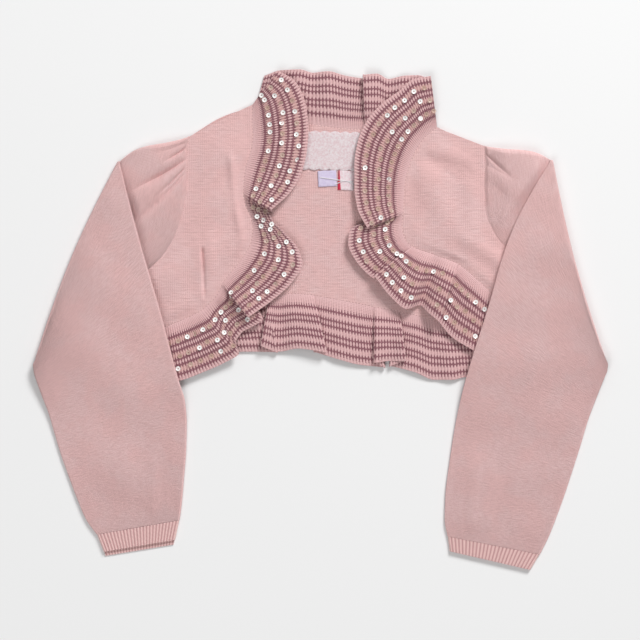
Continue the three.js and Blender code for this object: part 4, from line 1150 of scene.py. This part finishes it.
band_front_left = band("band_front_left", BAND_LEFT, FRONT_BAND_HEIGHT, -1, striped)
sequins_right = sequins("sequins_right", BAND_RIGHT, FRONT_BAND_HEIGHT, 1, 31, 0.5, film)
sequins_left = sequins("sequins_left", BAND_LEFT, FRONT_BAND_HEIGHT, -1, 32, 0.3, film)
label_neck = label("label_neck", LABEL_NECK, label_weave("label_white"), "label_cloth")
tab_size = label("tab_size", TAB_SIZE, label_weave("tab_lavender"), "tab_lavender")
tab_care = label("tab_care", TAB_CARE, label_weave("tab_white", CARE_EDGE), "tab_white")

thread_white = label_weave("thread_white")
for name, path in (("thread_long", THREAD_LONG), ("thread_short", THREAD_SHORT)):
    seam(name, path, LABEL_BASE + LABEL_CLOTH, THREAD_WIDTH, THREAD_RISE, thread_white)

# Seams between the panels and the bands, and between the fronts and the sleeve caps
edging = plain_rib("seam_chain")
seam_right, seam_left, seam_hem, seam_neck = (
    seam(name, rows[:, 1:3], height, SEAM_WIDTH, SEAM_RISE, edging) for name, rows, height in (
        ("seam_front_right", BAND_RIGHT, FRONT_SEAM_HEIGHT),
        ("seam_front_left", BAND_LEFT, FRONT_SEAM_HEIGHT),
        ("seam_hem", BAND_HEM, BACK_SEAM_HEIGHT),
        ("seam_neck", BAND_NECK, BACK_SEAM_HEIGHT)))
seam_armhole_right, seam_armhole_left = (
    seam(name, path, ARMHOLE_SEAM_HEIGHT, ARMHOLE_SEAM_WIDTH, SEAM_RISE, knit)
    for name, path in (("seam_armhole_right", ARMHOLE_RIGHT), ("seam_armhole_left", ARMHOLE_LEFT)))

# Floor, light and camera, in metres and watts: each light's place, size and power

FLOOR_REACH = 3
WORLD_STRENGTH = 0.33
LIGHTS = {"key": ((1.3, 2.5, 2.0), 1.1, 107), "fill": ((-0.9, -1.8, 2.4), 1.8, 30)}
CORNERS = ((-1, -1), (1, -1), (1, 1), (-1, 1))
floor_mesh = bpy.data.meshes.new("floor")
floor_mesh.from_pydata([(x * FLOOR_REACH, y * FLOOR_REACH, 0) for x, y in CORNERS], [], [(0, 1, 2, 3)])
floor = bpy.data.objects.new("floor", floor_mesh)
floor_finish = Finish("floor_paper", Roughness=0.9, Specular_IOR_Level=0.1)
floor_finish.shader.inputs["Base Color"].default_value = (*FLOOR, 1)
floor_mesh.materials.append(floor_finish.material)
bpy.context.scene.collection.objects.link(floor)

world = bpy.data.worlds.new("studio")
world.use_nodes = True
world.node_tree.nodes["Background"].inputs["Color"].default_value = (1, 1, 1, 1)
world.node_tree.nodes["Background"].inputs["Strength"].default_value = WORLD_STRENGTH
bpy.context.scene.world = world


def softbox(name, place, size, power):
    """Square area light at a place in metres, facing the garment."""
    light = bpy.data.lights.new(name, "AREA")
    light.size = size
    light.energy = power
    lamp = bpy.data.objects.new(name, light)
    lamp.location = place
    aim = -np.array(place) / np.linalg.norm(place)
    lamp.rotation_euler = (np.arccos(-aim[2]), 0, np.arctan2(aim[1], aim[0]) - np.pi / 2)
    bpy.context.scene.collection.objects.link(lamp)


for name, (place, size, power) in LIGHTS.items():
    softbox(name, place, size, power)

# The view is 512 mm wide, from straight above
VIEW_WIDTH = 0.512
CAMERA_PLACE = (-0.0004, -0.0012, 2.4)
camera_data = bpy.data.cameras.new("camera")
camera_data.lens = camera_data.sensor_width * CAMERA_PLACE[2] / VIEW_WIDTH
camera = bpy.data.objects.new("camera", camera_data)
camera.location = CAMERA_PLACE
bpy.context.scene.collection.objects.link(camera)
bpy.context.scene.camera = camera
bpy.context.scene.view_settings.view_transform = "Standard"
